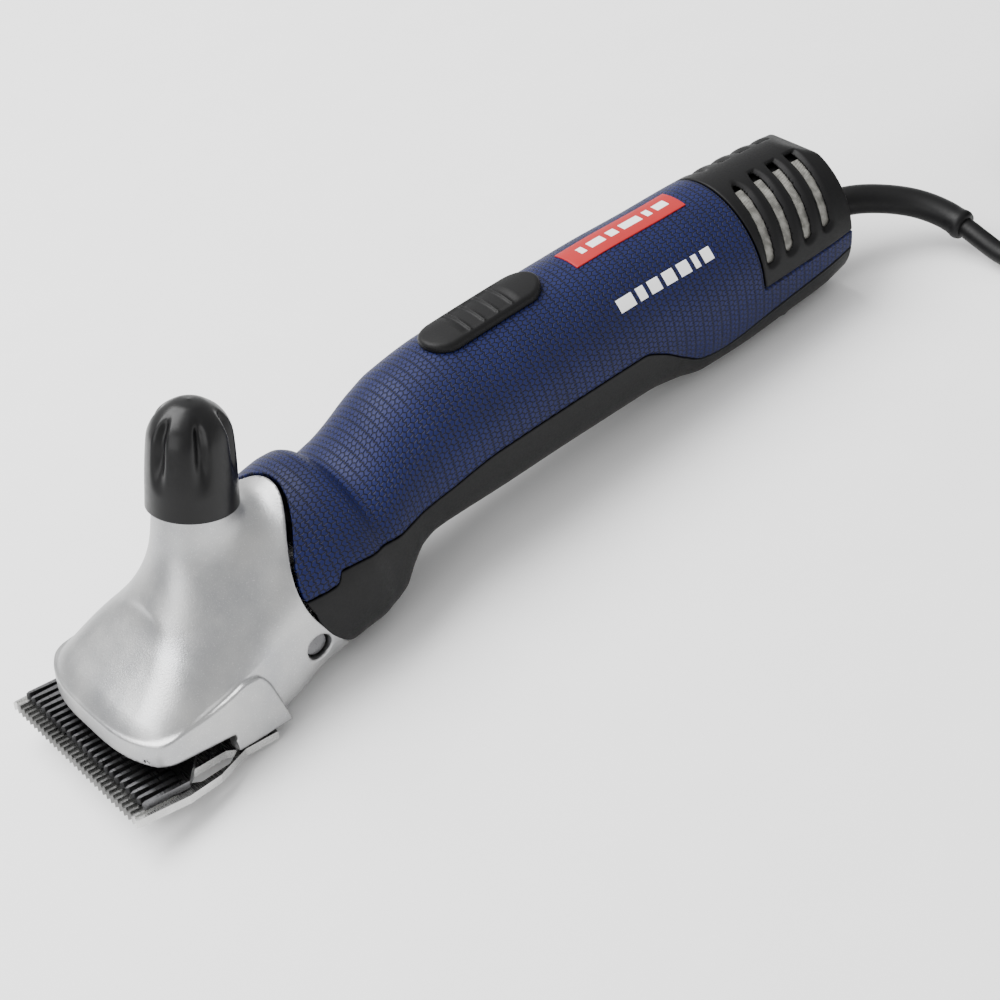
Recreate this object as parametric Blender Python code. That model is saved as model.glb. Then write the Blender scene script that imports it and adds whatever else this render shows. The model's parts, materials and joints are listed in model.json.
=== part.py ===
"""Electric sheep clipper handpiece, modelled in its tool frame and laid down on the surface z = 0.

Tool frame: x runs back along the motor axis, y is the width, z points out of the back of the grip.
All shapes are written in millimetres and become metres when their mesh is made.
"""

import math

import bmesh
import bpy
from mathutils import Matrix, Vector

MM = 0.001
GAP = 0.3

# How the handpiece lies: it rests on the comb's rear edge and on the bulge under the grip.
REST_PITCH = math.radians(3.859)
REST_SHIFT = (-157.57, 0.0, 13.74)

# Cutting head: the comb plane dips under the motor axis, and the tension screw leans back from it.
COMB_TILT = math.radians(8.0)
SCREW_LEAN = math.radians(16.0)
SCREW_RIM = (64.1, 0.0, 61.0)
PIVOT_X = 62.0

COMB_TEETH = 31
COMB_PITCH = 77.0 / 30
COMB_BOTTOM = -1.6
COMB_TOP = 1.2
CUTTER_TEETH = 23
CUTTER_PITCH = 3.3
CUTTER_BOTTOM = COMB_TOP + GAP
CUTTER_TOP = 4.0
LEVER_BOTTOM = 9.2
LEVER_TOP = 13.2

# Drive: motor axis and crank axis run along x, one above the other.
MOTOR_Z = 38.0
GEAR_DISTANCE = 20.3
CRANK_Z = MOTOR_Z - GEAR_DISTANCE
PINION_TEETH = 10
WHEEL_TEETH = 30
CRANK_THROW = 2.3

# Shells.
WALL = 2.6
CASTING_WALL = 3.2
REAR_X = 312.0
CAP_FRONT = 270.0
CAP_EDGE_Z = 32.5
CAP_WALL = 1.6
CAP_RECESS = 3.2

# Body sections: x, height of the widest line, half width, top, bottom, roundness of the lower half.
BODY = (
    (76.0, 23.5, 31.0, 50.3, -5.4, 3.4),
    (84.0, 24.0, 31.2, 51.4, -5.2, 2.9),
    (92.0, 24.6, 31.2, 53.4, -5.0, 2.8),
    (101.0, 25.0, 31.0, 54.0, -4.7, 2.7),
    (104.0, 25.0, 30.6, 53.0, -4.7, 2.7),
    (108.0, 25.0, 28.5, 47.8, -4.3, 2.7),
    (114.0, 27.0, 27.0, 49.7, -4.0, 2.5),
    (120.0, 30.0, 25.2, 53.2, 1.5, 2.4),
    (126.0, 33.0, 24.2, 57.3, 6.4, 2.3),
    (132.0, 35.5, 24.3, 60.3, 8.7, 2.3),
    (140.0, 37.5, 25.0, 62.9, 9.2, 2.3),
    (160.0, 39.5, 25.5, 65.3, 9.0, 2.3),
    (190.0, 40.0, 25.5, 65.9, 9.4, 2.3),
    (222.0, 40.0, 25.5, 66.0, 9.4, 2.3),
    (236.0, 39.0, 25.7, 65.6, 7.3, 2.3),
    (247.0, 38.0, 26.0, 65.2, 4.4, 2.3),
    (262.0, 38.0, 26.0, 65.0, 4.2, 2.3),
    (286.0, 38.0, 25.6, 63.8, 5.6, 2.3),
    (302.0, 38.0, 25.0, 62.6, 6.6, 2.3),
    (312.0, 38.0, 24.0, 61.4, 8.7, 2.3),
)
# Head sections, in the same columns: a flat-sided skirt in front that turns into the tube behind.
HEAD = (
    (9.2, 14.5, 25.0, 15.5, 7.8, 8.0),
    (10.0, 15.0, 28.5, 16.3, 7.6, 8.0),
    (12.0, 15.3, 31.8, 17.6, 7.3, 8.0),
    (15.0, 15.5, 33.4, 19.3, 7.0, 8.0),
    (20.0, 15.8, 34.0, 22.0, 6.2, 8.0),
    (26.0, 16.0, 34.0, 26.0, 5.4, 8.0),
    (37.5, 16.5, 33.6, 34.2, 3.8, 8.0),
    (40.0, 16.8, 33.4, 35.6, -3.2, 8.0),
    (53.0, 18.0, 32.2, 42.0, -4.8, 8.0),
    (59.0, 19.4, 31.6, 44.8, -5.6, 8.0),
    (66.0, 21.0, 31.0, 47.3, -5.6, 6.0),
    (76.0, 23.5, 31.0, 50.3, -5.4, 3.4),
)
FRONT_RAKE = 0.5
# Seam between grip and under cover: x, z.
SEAM = (
    (76.0, 29.2),
    (86.0, 28.6),
    (88.5, 29.2),
    (90.5, 32.0),
    (105.0, 30.4),
    (117.0, 28.4),
    (130.0, 30.0),
    (158.0, 34.6),
    (217.0, 35.4),
    (225.0, 31.7),
    (234.0, 24.5),
    (242.0, 19.0),
    (252.0, 17.6),
    (271.0, 20.4),
    (297.0, 23.4),
    (312.0, 25.4),
)
# The tube's front edge, where it meets the casting, bows forward at the sides.
MOUTH_SIDE_X = 76.3
MOUTH_BOW = 15.0
MOUTH_GAP = 1.5

# Cord: it leaves the rear wall, drops to the surface and ends in a round coil.
EXIT_Z = 30.0
CORD_R = 3.5
COIL_CENTRE = (276.0, -54.0)
TURN_OUTER = 49.0
TURN_INNER = 31.5
COIL_LAYERS = 4
PLUG_START = (-28.5, -22.3, 41.5)
PLUG_HEADING = math.radians(-18.0)


def clear_scene():
    for obj in list(bpy.data.objects):
        bpy.data.objects.remove(obj, do_unlink=True)


def empty(name, location, pitch, parent=None):
    """A frame turned about y, for the pieces that are drawn along its own axes."""
    obj = bpy.data.objects.new(name, None)
    obj.location = Vector(location) * MM
    obj.rotation_euler = (0.0, pitch, 0.0)
    obj.parent = parent
    bpy.context.scene.collection.objects.link(obj)
    return obj


def material(name, colour, roughness, metallic=0.0):
    """A plain Principled material, made once and shared by name."""
    found = bpy.data.materials.get(name)
    if found:
        return found
    made = bpy.data.materials.new(name)
    made.use_nodes = True
    shader = made.node_tree.nodes["Principled BSDF"]
    shader.inputs["Base Color"].default_value = (*colour, 1.0)
    shader.inputs["Roughness"].default_value = roughness
    shader.inputs["Metallic"].default_value = metallic
    return made


def cast_aluminium():
    return material("cast_aluminium", (0.72, 0.73, 0.74), 0.38, 1.0)


def tool_steel():
    return material("tool_steel", (0.55, 0.55, 0.56), 0.28, 1.0)


def dark_steel():
    return material("dark_steel", (0.16, 0.16, 0.17), 0.35, 1.0)


def blue_rubber():
    return material("blue_rubber", (0.045, 0.075, 0.26), 0.6)


def black_plastic():
    return material("black_plastic", (0.012, 0.012, 0.013), 0.45)


def black_rubber():
    return material("black_rubber", (0.01, 0.01, 0.01), 0.6)


def copper():
    return material("copper", (0.72, 0.33, 0.16), 0.35, 1.0)


def brass():
    return material("brass", (0.78, 0.6, 0.28), 0.3, 1.0)


def laminated_steel():
    return material("laminated_steel", (0.35, 0.36, 0.38), 0.5, 1.0)


def carbon():
    return material("carbon", (0.03, 0.03, 0.03), 0.7)


def filter_mesh():
    return material("filter_mesh", (0.5, 0.49, 0.46), 0.8)


def red_label():
    return material("red_label", (0.75, 0.03, 0.03), 0.4)


def white_plastic():
    return material("white_plastic", (0.8, 0.8, 0.78), 0.5)


def add_object(name, bm, parent, finish, smooth=True):
    """Turns a bmesh drawn in millimetres into a named object in metres."""
    bmesh.ops.remove_doubles(bm, verts=bm.verts, dist=1e-5)
    bmesh.ops.recalc_face_normals(bm, faces=bm.faces)
    bmesh.ops.scale(bm, vec=(MM, MM, MM), verts=bm.verts)
    mesh = bpy.data.meshes.new(name)
    bm.to_mesh(mesh)
    bm.free()
    if smooth:
        mesh.shade_smooth()
        mesh.set_sharp_from_angle(angle=math.radians(35))
    obj = bpy.data.objects.new(name, mesh)
    obj.parent = parent
    if finish:
        mesh.materials.append(finish)
    bpy.context.scene.collection.objects.link(obj)
    return obj


def combine(target, other, operation, solver="EXACT"):
    """Boolean with a helper object that stays out of the model."""
    other.hide_render = True
    other.display_type = "WIRE"
    modifier = target.modifiers.new(operation.lower() + "_" + other.name, "BOOLEAN")
    modifier.operation = operation
    modifier.solver = solver
    modifier.object = other


def skin(bm, rings, wrap):
    """Quads between neighbouring rings of vertices; wrap closes each ring."""
    for near, far in zip(rings, rings[1:]):
        count = len(near)
        for j in range(count if wrap else count - 1):
            k = (j + 1) % count
            corners = []
            for vert in (near[j], near[k], far[k], far[j]):
                if vert not in corners:
                    corners.append(vert)
            if len(corners) > 2:
                bm.faces.new(corners)


def lathe(name, profile, parent, finish, axis="Z", centre=(0, 0, 0), steps=28, ring=False):
    """Turns a profile of (along, radius) points about an axis; ring joins its last point to its first."""
    bm = bmesh.new()
    rings = []
    for along, radius in profile:
        if radius < 1e-6:
            tip = bm.verts.new(turned_point(axis, centre, along, 0.0, 0.0))
            rings.append([tip] * steps)
            continue
        angles = [2 * math.pi * k / steps for k in range(steps)]
        rings.append([bm.verts.new(turned_point(axis, centre, along, radius, t)) for t in angles])
    if ring:
        rings.append(rings[0])
    skin(bm, rings, True)
    return add_object(name, bm, parent, finish)


def turned_point(axis, centre, along, radius, angle):
    """A point at a distance and an angle from an axis through the centre."""
    side, up = radius * math.cos(angle), radius * math.sin(angle)
    if axis == "X":
        return Vector(centre) + Vector((along, side, up))
    if axis == "Y":
        return Vector(centre) + Vector((up, along, side))
    return Vector(centre) + Vector((side, up, along))


def box(name, low, high, parent, finish):
    bm = bmesh.new()
    bmesh.ops.create_cube(bm, size=1.0)
    size = Vector(high) - Vector(low)
    middle = (Vector(high) + Vector(low)) / 2
    bmesh.ops.transform(bm, matrix=Matrix.Translation(middle) @ Matrix.Diagonal(size.to_4d()), verts=bm.verts)
    return add_object(name, bm, parent, finish, smooth=False)


def prism(name, outline, low, high, parent, finish):
    """Extrudes a plan outline of (x, y) points from one height to another."""
    bm = bmesh.new()
    face = bm.faces.new([bm.verts.new((x, y, low)) for x, y in outline])
    raised = bmesh.ops.extrude_face_region(bm, geom=[face])
    tops = [item for item in raised["geom"] if isinstance(item, bmesh.types.BMVert)]
    bmesh.ops.translate(bm, vec=(0, 0, high - low), verts=tops)
    return add_object(name, bm, parent, finish, smooth=False)


def side_name(side):
    """Left is the side with the lower y."""
    return "left" if side < 0 else "right"


def lerp_row(table, x):
    """Values of a table at x, in straight lines between its rows."""
    if x <= table[0][0]:
        return table[0][1:]
    for low, high in zip(table, table[1:]):
        if x <= high[0]:
            t = (x - low[0]) / (high[0] - low[0])
            return tuple(a + (b - a) * t for a, b in zip(low[1:], high[1:]))
    return table[-1][1:]


def section_point(row, angle, inset=0.0):
    """(y, z) on a section at an angle from its top: an ellipse above, a squarer curve below."""
    middle, half, top, bottom, power = row
    half -= inset
    side = math.copysign(abs(math.sin(angle)), angle)
    fall = math.cos(angle)
    if fall >= 0:
        return half * side, middle + (top - middle - inset) * fall
    power = 2.0 / power
    y = math.copysign(half * abs(side) ** power, angle)
    return y, middle - (middle - bottom - inset) * abs(fall) ** power


def angle_at_height(row, z):
    """The angle from the top at which a section reaches a height on its side."""
    middle, _, top, bottom, power = row
    if z >= middle:
        return math.acos(min(1.0, (z - middle) / (top - middle)))
    return math.pi - math.acos(min(1.0, ((middle - z) / (middle - bottom)) ** (power / 2)))


def mouth_x(angle):
    """Where the tube starts, at an angle from the top."""
    return MOUTH_SIDE_X + MOUTH_BOW * math.cos(min(1.2 * abs(angle), math.pi)) ** 2


def wall_from_grids(name, outer, inner, keep, parent, finish):
    """A closed wall between two matching grids of points, open where keep says no."""
    bm = bmesh.new()
    skins = [[[bm.verts.new(p) for p in row] for row in grid] for grid in (outer, inner)]
    kept = {
        (i, j)
        for i in range(len(outer) - 1)
        for j in range(len(outer[0]) - 1)
        if keep(i, j)
    }
    for i, j in kept:
        for grid in skins:
            bm.faces.new((grid[i][j], grid[i][j + 1], grid[i + 1][j + 1], grid[i + 1][j]))
        sides = (
            ((i - 1, j), (i, j), (i, j + 1)),
            ((i + 1, j), (i + 1, j), (i + 1, j + 1)),
            ((i, j - 1), (i, j), (i + 1, j)),
            ((i, j + 1), (i, j + 1), (i + 1, j + 1)),
        )
        for neighbour, a, b in sides:
            if neighbour not in kept:
                rim = [skins[0][a[0]][a[1]], skins[0][b[0]][b[1]]]
                rim += [skins[1][b[0]][b[1]], skins[1][a[0]][a[1]]]
                bm.faces.new(rim)
    loose = [vert for vert in bm.verts if not vert.link_faces]
    bmesh.ops.delete(bm, geom=loose, context="VERTS")
    return add_object(name, bm, parent, finish)


def disc_in_body(name, low, high, inset, parent, finish, steps=36):
    """A plate that fills a body section, smaller by an inset all round."""
    bm = bmesh.new()
    rings = []
    for x in (low, high):
        row = lerp_row(BODY, x)
        ring = []
        for k in range(steps):
            y, z = section_point(row, -math.pi + 2 * math.pi * (k + 0.5) / steps, inset)
            ring.append(bm.verts.new((x, y, z)))
        rings.append(ring)
    skin(bm, rings, True)
    bm.faces.new(rings[0])
    bm.faces.new(rings[1])
    return add_object(name, bm, parent, finish)


# ---------------------------------------------------------------- head


def ring_angles(steps):
    """Angles round a section, clear of the top and bottom points."""
    return [-math.pi + 2 * math.pi * (k + 0.5) / steps for k in range(steps)]


def closed_loft(name, rows, parent, finish):
    """Solid through rows of points, a flat end on the first and a shallow fan on the last."""
    bm = bmesh.new()
    rings = [[bm.verts.new(p) for p in row] for row in rows]
    skin(bm, rings, True)
    bm.faces.new(rings[0])
    count = len(rings[-1])
    ends = [vert.co for vert in rings[-1]]
    hub = bm.verts.new(((ends[0].x + ends[count // 2].x) / 2, 0.0, 20.0))
    for k in range(count):
        bm.faces.new((rings[-1][k], rings[-1][(k + 1) % count], hub))
    return add_object(name, bm, parent, finish)


def head_point(x, angle, inset=0.0, floor=None):
    """A point of the head's outside; the front is raked back, and floor lowers its open bottom."""
    row = list(lerp_row(HEAD, x) if x <= HEAD[-1][0] else lerp_row(BODY, x))
    if floor is not None:
        row[3] = floor
    y, z = section_point(row, angle, inset)
    rake = FRONT_RAKE * max(0.0, 1 - x / 40.0)
    return Vector((x + rake * max(0.0, z - 7.0), y, z))


def head_block(tool):
    """Solid outside of the head, its rear edge bowed like the tube's mouth."""
    rows = []
    for x in [row[0] for row in HEAD[:-1]]:
        rows.append([head_point(x, a) for a in ring_angles(40)])
    for part in (0.35, 0.7, 1.0):
        row = []
        for a in ring_angles(40):
            x = HEAD[-2][0] + part * (mouth_x(a) - MOUTH_GAP - HEAD[-2][0])
            row.append(head_point(x, a))
        rows.append(row)
    return closed_loft("head_casting", rows, tool, cast_aluminium())


def front_hollow(tool):
    """Room for the cutter and the lever, open below."""
    rows = []
    for x in (14.0, 20.0, 26.0, 37.0, 48.0, 58.0):
        rows.append([head_point(x, a, CASTING_WALL, -30.0) for a in ring_angles(32)])
    return closed_loft("front_hollow", rows, tool, None)


def tube_hollow(tool):
    """Room for the lever's tail and the crank, with a floor left under it."""
    rows = []
    for x in (54.0, 64.0, 77.0, 90.0, 102.0):
        rows.append([head_point(x, a, CASTING_WALL + 0.7) for a in ring_angles(36)])
    return closed_loft("tube_hollow", rows, tool, None)


def head_casting(tool, screw_frame, comb_frame):
    """Aluminium head: skirt, dome, tube and the boss for the tension screw, hollow underneath."""
    head = head_block(tool)
    profile = [(11.0, 0.0), (11.0, 11.4), (0.0, 12.3), (-10.0, 13.0), (-16.0, 15.5)]
    profile += [(-21.0, 20.5), (-30.0, 22.0), (-30.0, 0.0)]
    combine(head, lathe("boss_block", profile, screw_frame, None, steps=32), "UNION", "MANIFOLD")
    combine(head, front_hollow(tool), "DIFFERENCE", "MANIFOLD")
    combine(head, tube_hollow(tool), "DIFFERENCE", "MANIFOLD")
    bore = [(20.0, 0.0), (20.0, 6.4), (-40.0, 6.4), (-40.0, 0.0)]
    combine(head, lathe("screw_bore", bore, screw_frame, None, steps=24), "DIFFERENCE", "MANIFOLD")
    seat = [(-3.0, 0.0), (-3.0, 4.3), (10.3, 4.3), (10.3, 0.0)]
    seat_piece = lathe("post_seat", seat, comb_frame, None, centre=(PIVOT_X, 0.0, 0.0), steps=18)
    combine(head, seat_piece, "DIFFERENCE", "MANIFOLD")
    for side in (-1, 1):
        hole = [(20.0 * side, 0.0), (20.0 * side, 4.4), (40.0 * side, 4.4), (40.0 * side, 0.0)]
        cutter = lathe("side_hole", hole, tool, None, axis="Y", centre=(76.0, 0.0, 11.5), steps=16)
        combine(head, cutter, "DIFFERENCE", "MANIFOLD")
    for side in (-1, 1):
        hole = [(-8.0, 0.0), (-8.0, 2.6), (8.0, 2.6), (8.0, 0.0)]
        cutter = lathe("comb_hole", hole, comb_frame, None, centre=(48.0, 22.0 * side, 4.0), steps=12)
        combine(head, cutter, "DIFFERENCE", "MANIFOLD")
    return head


def side_screws(tool):
    """Grub screws down in the holes of the head's sides."""
    for side in (-1, 1):
        profile = [(24.0 * side, 0.0), (24.0 * side, 3.9), (27.5 * side, 3.9), (27.5 * side, 0.0)]
        name = "side_screw_" + side_name(side)
        lathe(name, profile, tool, dark_steel(), axis="Y", centre=(76.0, 0.0, 11.5), steps=16)


def comb_root(y):
    """Depth of the gap between teeth: shorter in front of the side windows."""
    return 15.5 if abs(y) > 27.0 else 23.0


def comb_outline():
    """Plan of the comb: a saw of narrow teeth in front, shoulders, and a narrower tail."""
    half = COMB_PITCH * (COMB_TEETH - 1) / 2
    points = []
    for k in range(COMB_TEETH):
        y = -half + k * COMB_PITCH
        if k:
            points.append((comb_root(y - COMB_PITCH / 2), y - 0.72))
        points.append((0.9, y - 0.42))
        points.append((0.0, y))
        points.append((0.9, y + 0.42))
        if k < COMB_TEETH - 1:
            points.append((comb_root(y + COMB_PITCH / 2), y + 0.72))
    points += [(18.0, half + 1.3), (30.0, half - 0.6), (42.0, 32.5), (54.0, 32.0)]
    points += [(54.0, 14.0), (48.0, 10.0), (48.0, -10.0), (54.0, -14.0)]
    points += [(54.0, -32.0), (42.0, -32.5), (30.0, -half + 0.6), (18.0, -half - 1.3)]
    return points


def comb(comb_frame):
    plate = prism("comb", comb_outline(), COMB_BOTTOM, COMB_TOP, comb_frame, tool_steel())
    for side in (-1, 1):
        window = [(20.0, 34.0), (25.0, 30.0), (37.0, 29.0), (40.0, 31.0), (35.0, 35.0), (24.0, 36.5)]
        cutter = prism("comb_window", [(x, y * side) for x, y in window], -4.0, 4.0, comb_frame, None)
        combine(plate, cutter, "DIFFERENCE")
        slot = [(44.0, 19.6), (54.5, 19.6), (54.5, 24.4), (44.0, 24.4)]
        cutter = prism("comb_slot", [(x, y * side) for x, y in slot], -4.0, 4.0, comb_frame, None)
        combine(plate, cutter, "DIFFERENCE")
    return plate


def comb_screws(comb_frame):
    """Two screws that clamp the comb up against the head, heads underneath."""
    for side in (-1, 1):
        profile = [(6.0, 0.0), (6.0, 2.2), (-1.9, 2.2), (-1.9, 4.2), (-3.2, 3.6), (-3.2, 0.0)]
        spot = (48.0, 22.0 * side, 0.0)
        lathe("comb_screw_" + side_name(side), profile, comb_frame, tool_steel(), centre=spot, steps=16)


def cutter_outline():
    half = CUTTER_PITCH * (CUTTER_TEETH - 1) / 2
    points = []
    for k in range(CUTTER_TEETH):
        y = -half + k * CUTTER_PITCH
        if k:
            points.append((19.0, y - 1.15))
        points.append((5.0, y - 0.55))
        points.append((4.0, y))
        points.append((5.0, y + 0.55))
        if k < CUTTER_TEETH - 1:
            points.append((19.0, y + 1.15))
    points += [(20.0, half + 0.6), (29.0, 26.0), (29.0, -26.0), (20.0, -half - 0.6)]
    return points


def cutter(comb_frame):
    blade = prism("cutter", cutter_outline(), CUTTER_BOTTOM, CUTTER_TOP, comb_frame, dark_steel())
    for side in (-1, 1):
        hole = [(-2.0, 0.0), (-2.0, 2.3), (8.0, 2.3), (8.0, 0.0)]
        bore = lathe("pin_hole", hole, comb_frame, None, centre=(24.0, 14.0 * side, 0.0), steps=12)
        combine(blade, bore, "DIFFERENCE")
    return blade


def drive_pins(comb_frame):
    """Two pins that the lever's claws hold in the cutter's holes."""
    for side in (-1, 1):
        profile = [(2.0, 0.0), (2.0, 2.0), (8.9, 2.0), (8.9, 0.0)]
        spot = (24.0, 14.0 * side, 0.0)
        lathe("drive_pin_" + side_name(side), profile, comb_frame, tool_steel(), centre=spot, steps=12)


def swing_lever(comb_frame, pivot):
    """Steel lever: two claws over the cutter, an eye at the pivot post, a tall fork at the crank."""
    outline = [(20.0, 10.0), (20.0, 18.0), (28.0, 18.0), (46.0, 9.0), (72.0, 9.0)]
    outline += [(72.0, -9.0), (46.0, -9.0), (28.0, -18.0), (20.0, -18.0), (20.0, -10.0), (30.0, -5.0), (30.0, 5.0)]
    shifted = [(x - PIVOT_X, y) for x, y in outline]
    lever = prism("swing_lever", shifted, LEVER_BOTTOM, LEVER_TOP, pivot, tool_steel())
    bridge = box("lever_bridge", (9.0, -13.2, 11.4), (15.0, 13.2, 18.0), pivot, None)
    combine(lever, bridge, "UNION")
    for side in (-1, 1):
        low, high = sorted((9.4 * side, 13.2 * side))
        prong = box("lever_prong", (11.0, low, 14.0), (25.4, high, 38.0), pivot, None)
        combine(lever, prong, "UNION")
    eye = [(0.0, 0.0), (0.0, 3.1), (20.0, 3.1), (20.0, 0.0)]
    combine(lever, lathe("lever_eye", eye, pivot, None, steps=16), "DIFFERENCE")
    return lever


def pivot_post(comb_frame):
    profile = [(3.6, 0.0), (3.6, 4.0), (8.6, 4.0), (8.6, 2.8), (16.0, 2.8), (16.0, 0.0)]
    return lathe("pivot_post", profile, comb_frame, tool_steel(), centre=(PIVOT_X, 0.0, 0.0), steps=16)


# ---------------------------------------------------------------- tension


def pressure_sleeve(screw_frame):
    """Threaded pin that the knob screws down through the boss onto the lever."""
    profile = [(22.5, 0.0), (22.5, 6.0), (-30.0, 6.0), (-30.0, 3.6), (-49.0, 3.6), (-49.0, 7.4)]
    profile += [(-51.0, 7.4), (-51.0, 3.6), (-54.3, 3.6), (-55.8, 1.6), (-55.8, 0.0)]
    return lathe("pressure_sleeve", profile, screw_frame, tool_steel(), steps=20)


def tension_spring(screw_frame):
    """Helix round the pin, above its collar."""
    turns, per_turn = 4, 12
    curve = bpy.data.curves.new("tension_spring", "CURVE")
    curve.dimensions = "3D"
    curve.bevel_depth = 0.8 * MM
    curve.bevel_resolution = 1
    curve.use_fill_caps = True
    line = curve.splines.new("POLY")
    count = turns * per_turn + 1
    line.points.add(count - 1)
    for k in range(count):
        t = 2 * math.pi * k / per_turn
        z = -47.6 + 14.0 * k / (count - 1)
        line.points[k].co = (5.2 * MM * math.cos(t), 5.2 * MM * math.sin(t), z * MM, 1.0)
    curve.materials.append(tool_steel())
    spring = bpy.data.objects.new("tension_spring", curve)
    spring.parent = screw_frame
    bpy.context.scene.collection.objects.link(spring)
    return spring


def tension_knob(screw_frame):
    """Black cap with a domed top, hollow over the boss."""
    outside = [(0.0, 14.2), (10.0, 13.9), (20.0, 13.1), (25.0, 12.3), (29.0, 10.4), (32.0, 7.4), (33.8, 3.8)]
    profile = [(34.2, 0.0)] + outside[::-1]
    profile += [(0.0, 12.9), (13.5, 12.4), (13.5, 6.3), (23.0, 6.3), (23.0, 0.0)]
    return lathe("tension_knob", profile, screw_frame, black_plastic(), steps=36)


# ---------------------------------------------------------------- shells


def body_stations():
    """x of every row of the body shells: the section table's rows and the edges of every opening."""
    rows = [row[0] for row in BODY if row[0] > 92.0]
    rows += [150.0, 168.0, 186.0, 206.0, CAP_FRONT - GAP, CAP_FRONT, 276.0, 304.0]
    return sorted(rows)


def grip_angles(x):
    """Column angles of the grip at x, from the seam on one side over the top to the other."""
    row = lerp_row(BODY, x)
    seam = angle_at_height(row, lerp_row(SEAM, x)[0] + GAP / 2)
    middle = min(angle_at_height(row, CAP_EDGE_Z - 1.0), seam - 0.08)
    fixed = [math.radians(a) for a in (0, 9, 20, 32, 46, 60)]
    outer = [fixed[-1] + (middle - fixed[-1]) * t for t in (0.33, 0.66, 1.0)]
    outer += [middle + (seam - middle) * t for t in (0.5, 1.0)]
    half = fixed[1:] + outer
    return [-a for a in half[::-1]] + [0.0] + half


def tube_rows(angles_at, stations):
    """Rows of (x, angle) pairs: the first one bowed along the mouth, the others square."""
    first = angles_at(84.0)
    rows = []
    for part in (0.0, 0.5):
        rows.append([(mouth_x(a) + part * (96.0 - mouth_x(a)), a) for a in first])
    rows.append([(96.0, a) for a in angles_at(96.0)])
    for x in stations:
        rows.append([(x, a) for a in angles_at(x)])
    return rows


def tube_point(x, angle, inset):
    y, z = section_point(lerp_row(BODY, x), angle, inset)
    return Vector((x, y, z))


def grip_housing(tool):
    """Blue upper shell: recessed under the rear cap, open under the switch and the filters."""
    rows = tube_rows(grip_angles, body_stations())
    outer, inner = [], []
    for row in rows:
        out_row, in_row = [], []
        for j, (x, angle) in enumerate(row):
            capped = x > CAP_FRONT - 0.1 and 2 <= j <= len(row) - 3
            recess = CAP_RECESS if capped else 0.0
            out_row.append(tube_point(x, angle, recess))
            in_row.append(tube_point(x, angle, recess + (1.8 if capped else WALL)))
        outer.append(out_row)
        inner.append(in_row)
    middle = (len(rows[0]) - 1) // 2

    def keep(i, j):
        x = rows[i][0][0]
        step = j - middle if j >= middle else middle - 1 - j
        if i > 2 and 167.0 < x < 185.0 and step == 0:
            return False
        return not (i > 2 and 275.0 < x < 303.0 and 3 <= step <= 5)

    return wall_from_grids("grip_housing", outer, inner, keep, tool, blue_rubber())


def under_angles(x):
    """Column angles of the under cover at x, from one seam under the belly to the other."""
    row = lerp_row(BODY, x)
    seam = angle_at_height(row, lerp_row(SEAM, x)[0] - GAP / 2)
    count = 14
    return [seam + (2 * math.pi - 2 * seam) * k / count for k in range(count + 1)]


def under_point(x, angle, inset):
    """A body point at an angle that may run past the belly line."""
    turn = angle if angle <= math.pi else angle - 2 * math.pi
    return tube_point(x, turn, inset)


def under_cover(tool):
    """Black lower shell."""
    stations = [row[0] for row in BODY if row[0] > 92.0] + [206.0]
    first = under_angles(84.0)

    def mouth(angle):
        return mouth_x(min(angle, 2 * math.pi - angle))

    rows = []
    for part in (0.0, 0.5):
        rows.append([(mouth(a) + part * (96.0 - mouth(a)), a) for a in first])
    rows.append([(96.0, a) for a in under_angles(96.0)])
    for x in sorted(stations):
        rows.append([(x, a) for a in under_angles(x)])
    outer = [[under_point(x, a, 0.0) for x, a in row] for row in rows]
    inner = [[under_point(x, a, WALL) for x, a in row] for row in rows]
    cover = wall_from_grids("under_cover", outer, inner, lambda i, j: True, tool, black_plastic())
    for x, y in SCREW_PLACES:
        low = section_floor(x, y)
        hole = [(-8.0, 0.0), (-8.0, 3.1), (1.6, 3.1), (1.6, 1.7), (9.0, 1.7), (9.0, 0.0)]
        bore = lathe("cover_hole", hole, tool, None, centre=(x, y, low), steps=12)
        combine(cover, bore, "DIFFERENCE")
    return cover


SCREW_PLACES = ((134.0, 10.0), (134.0, -10.0), (286.0, 11.0), (286.0, -11.0))


def section_floor(x, y):
    """Height of the belly at a place off the middle."""
    middle, half, _, bottom, power = lerp_row(BODY, x)
    return middle - (middle - bottom) * (1 - (abs(y) / half) ** power) ** (1 / power)


def cover_screws(tool):
    for number, (x, y) in enumerate(SCREW_PLACES, 1):
        spot = (x, y, section_floor(x, y) + 0.4)
        profile = [(0.0, 0.0), (0.0, 2.5), (0.5, 2.8), (0.9, 2.8), (0.9, 1.4), (8.6, 1.4), (8.6, 0.0)]
        lathe("cover_screw_%d" % number, profile, tool, dark_steel(), centre=spot, steps=12)


def cap_angles(x):
    row = lerp_row(BODY, x)
    edge = angle_at_height(row, CAP_EDGE_Z)
    fixed = [math.radians(a) for a in (0, 14, 27, 45, 63, 81)]
    half = fixed[1:] + [edge]
    return [-a for a in half[::-1]] + [0.0] + half


def rear_cap(tool):
    """Vented cap over the air filters, four slots on each side, closed behind."""
    slots = [(274.0 + 8.7 * k, 278.4 + 8.7 * k) for k in range(4)]
    stations = [CAP_FRONT] + [x for slot in slots for x in slot] + [308.0, REAR_X]
    rows = [[(x, a) for a in cap_angles(x)] for x in stations]
    outer = [[tube_point(x, a, 0.0) for x, a in row] for row in rows]
    inner = [[tube_point(x, a, CAP_WALL) for x, a in row] for row in rows]
    middle = (len(rows[0]) - 1) // 2

    def keep(i, j):
        step = j - middle if j >= middle else middle - 1 - j
        return not (i % 2 == 1 and i < 8 and 2 <= step <= 4)

    return wall_from_grids("rear_cap", outer, inner, keep, tool, black_plastic())


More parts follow.
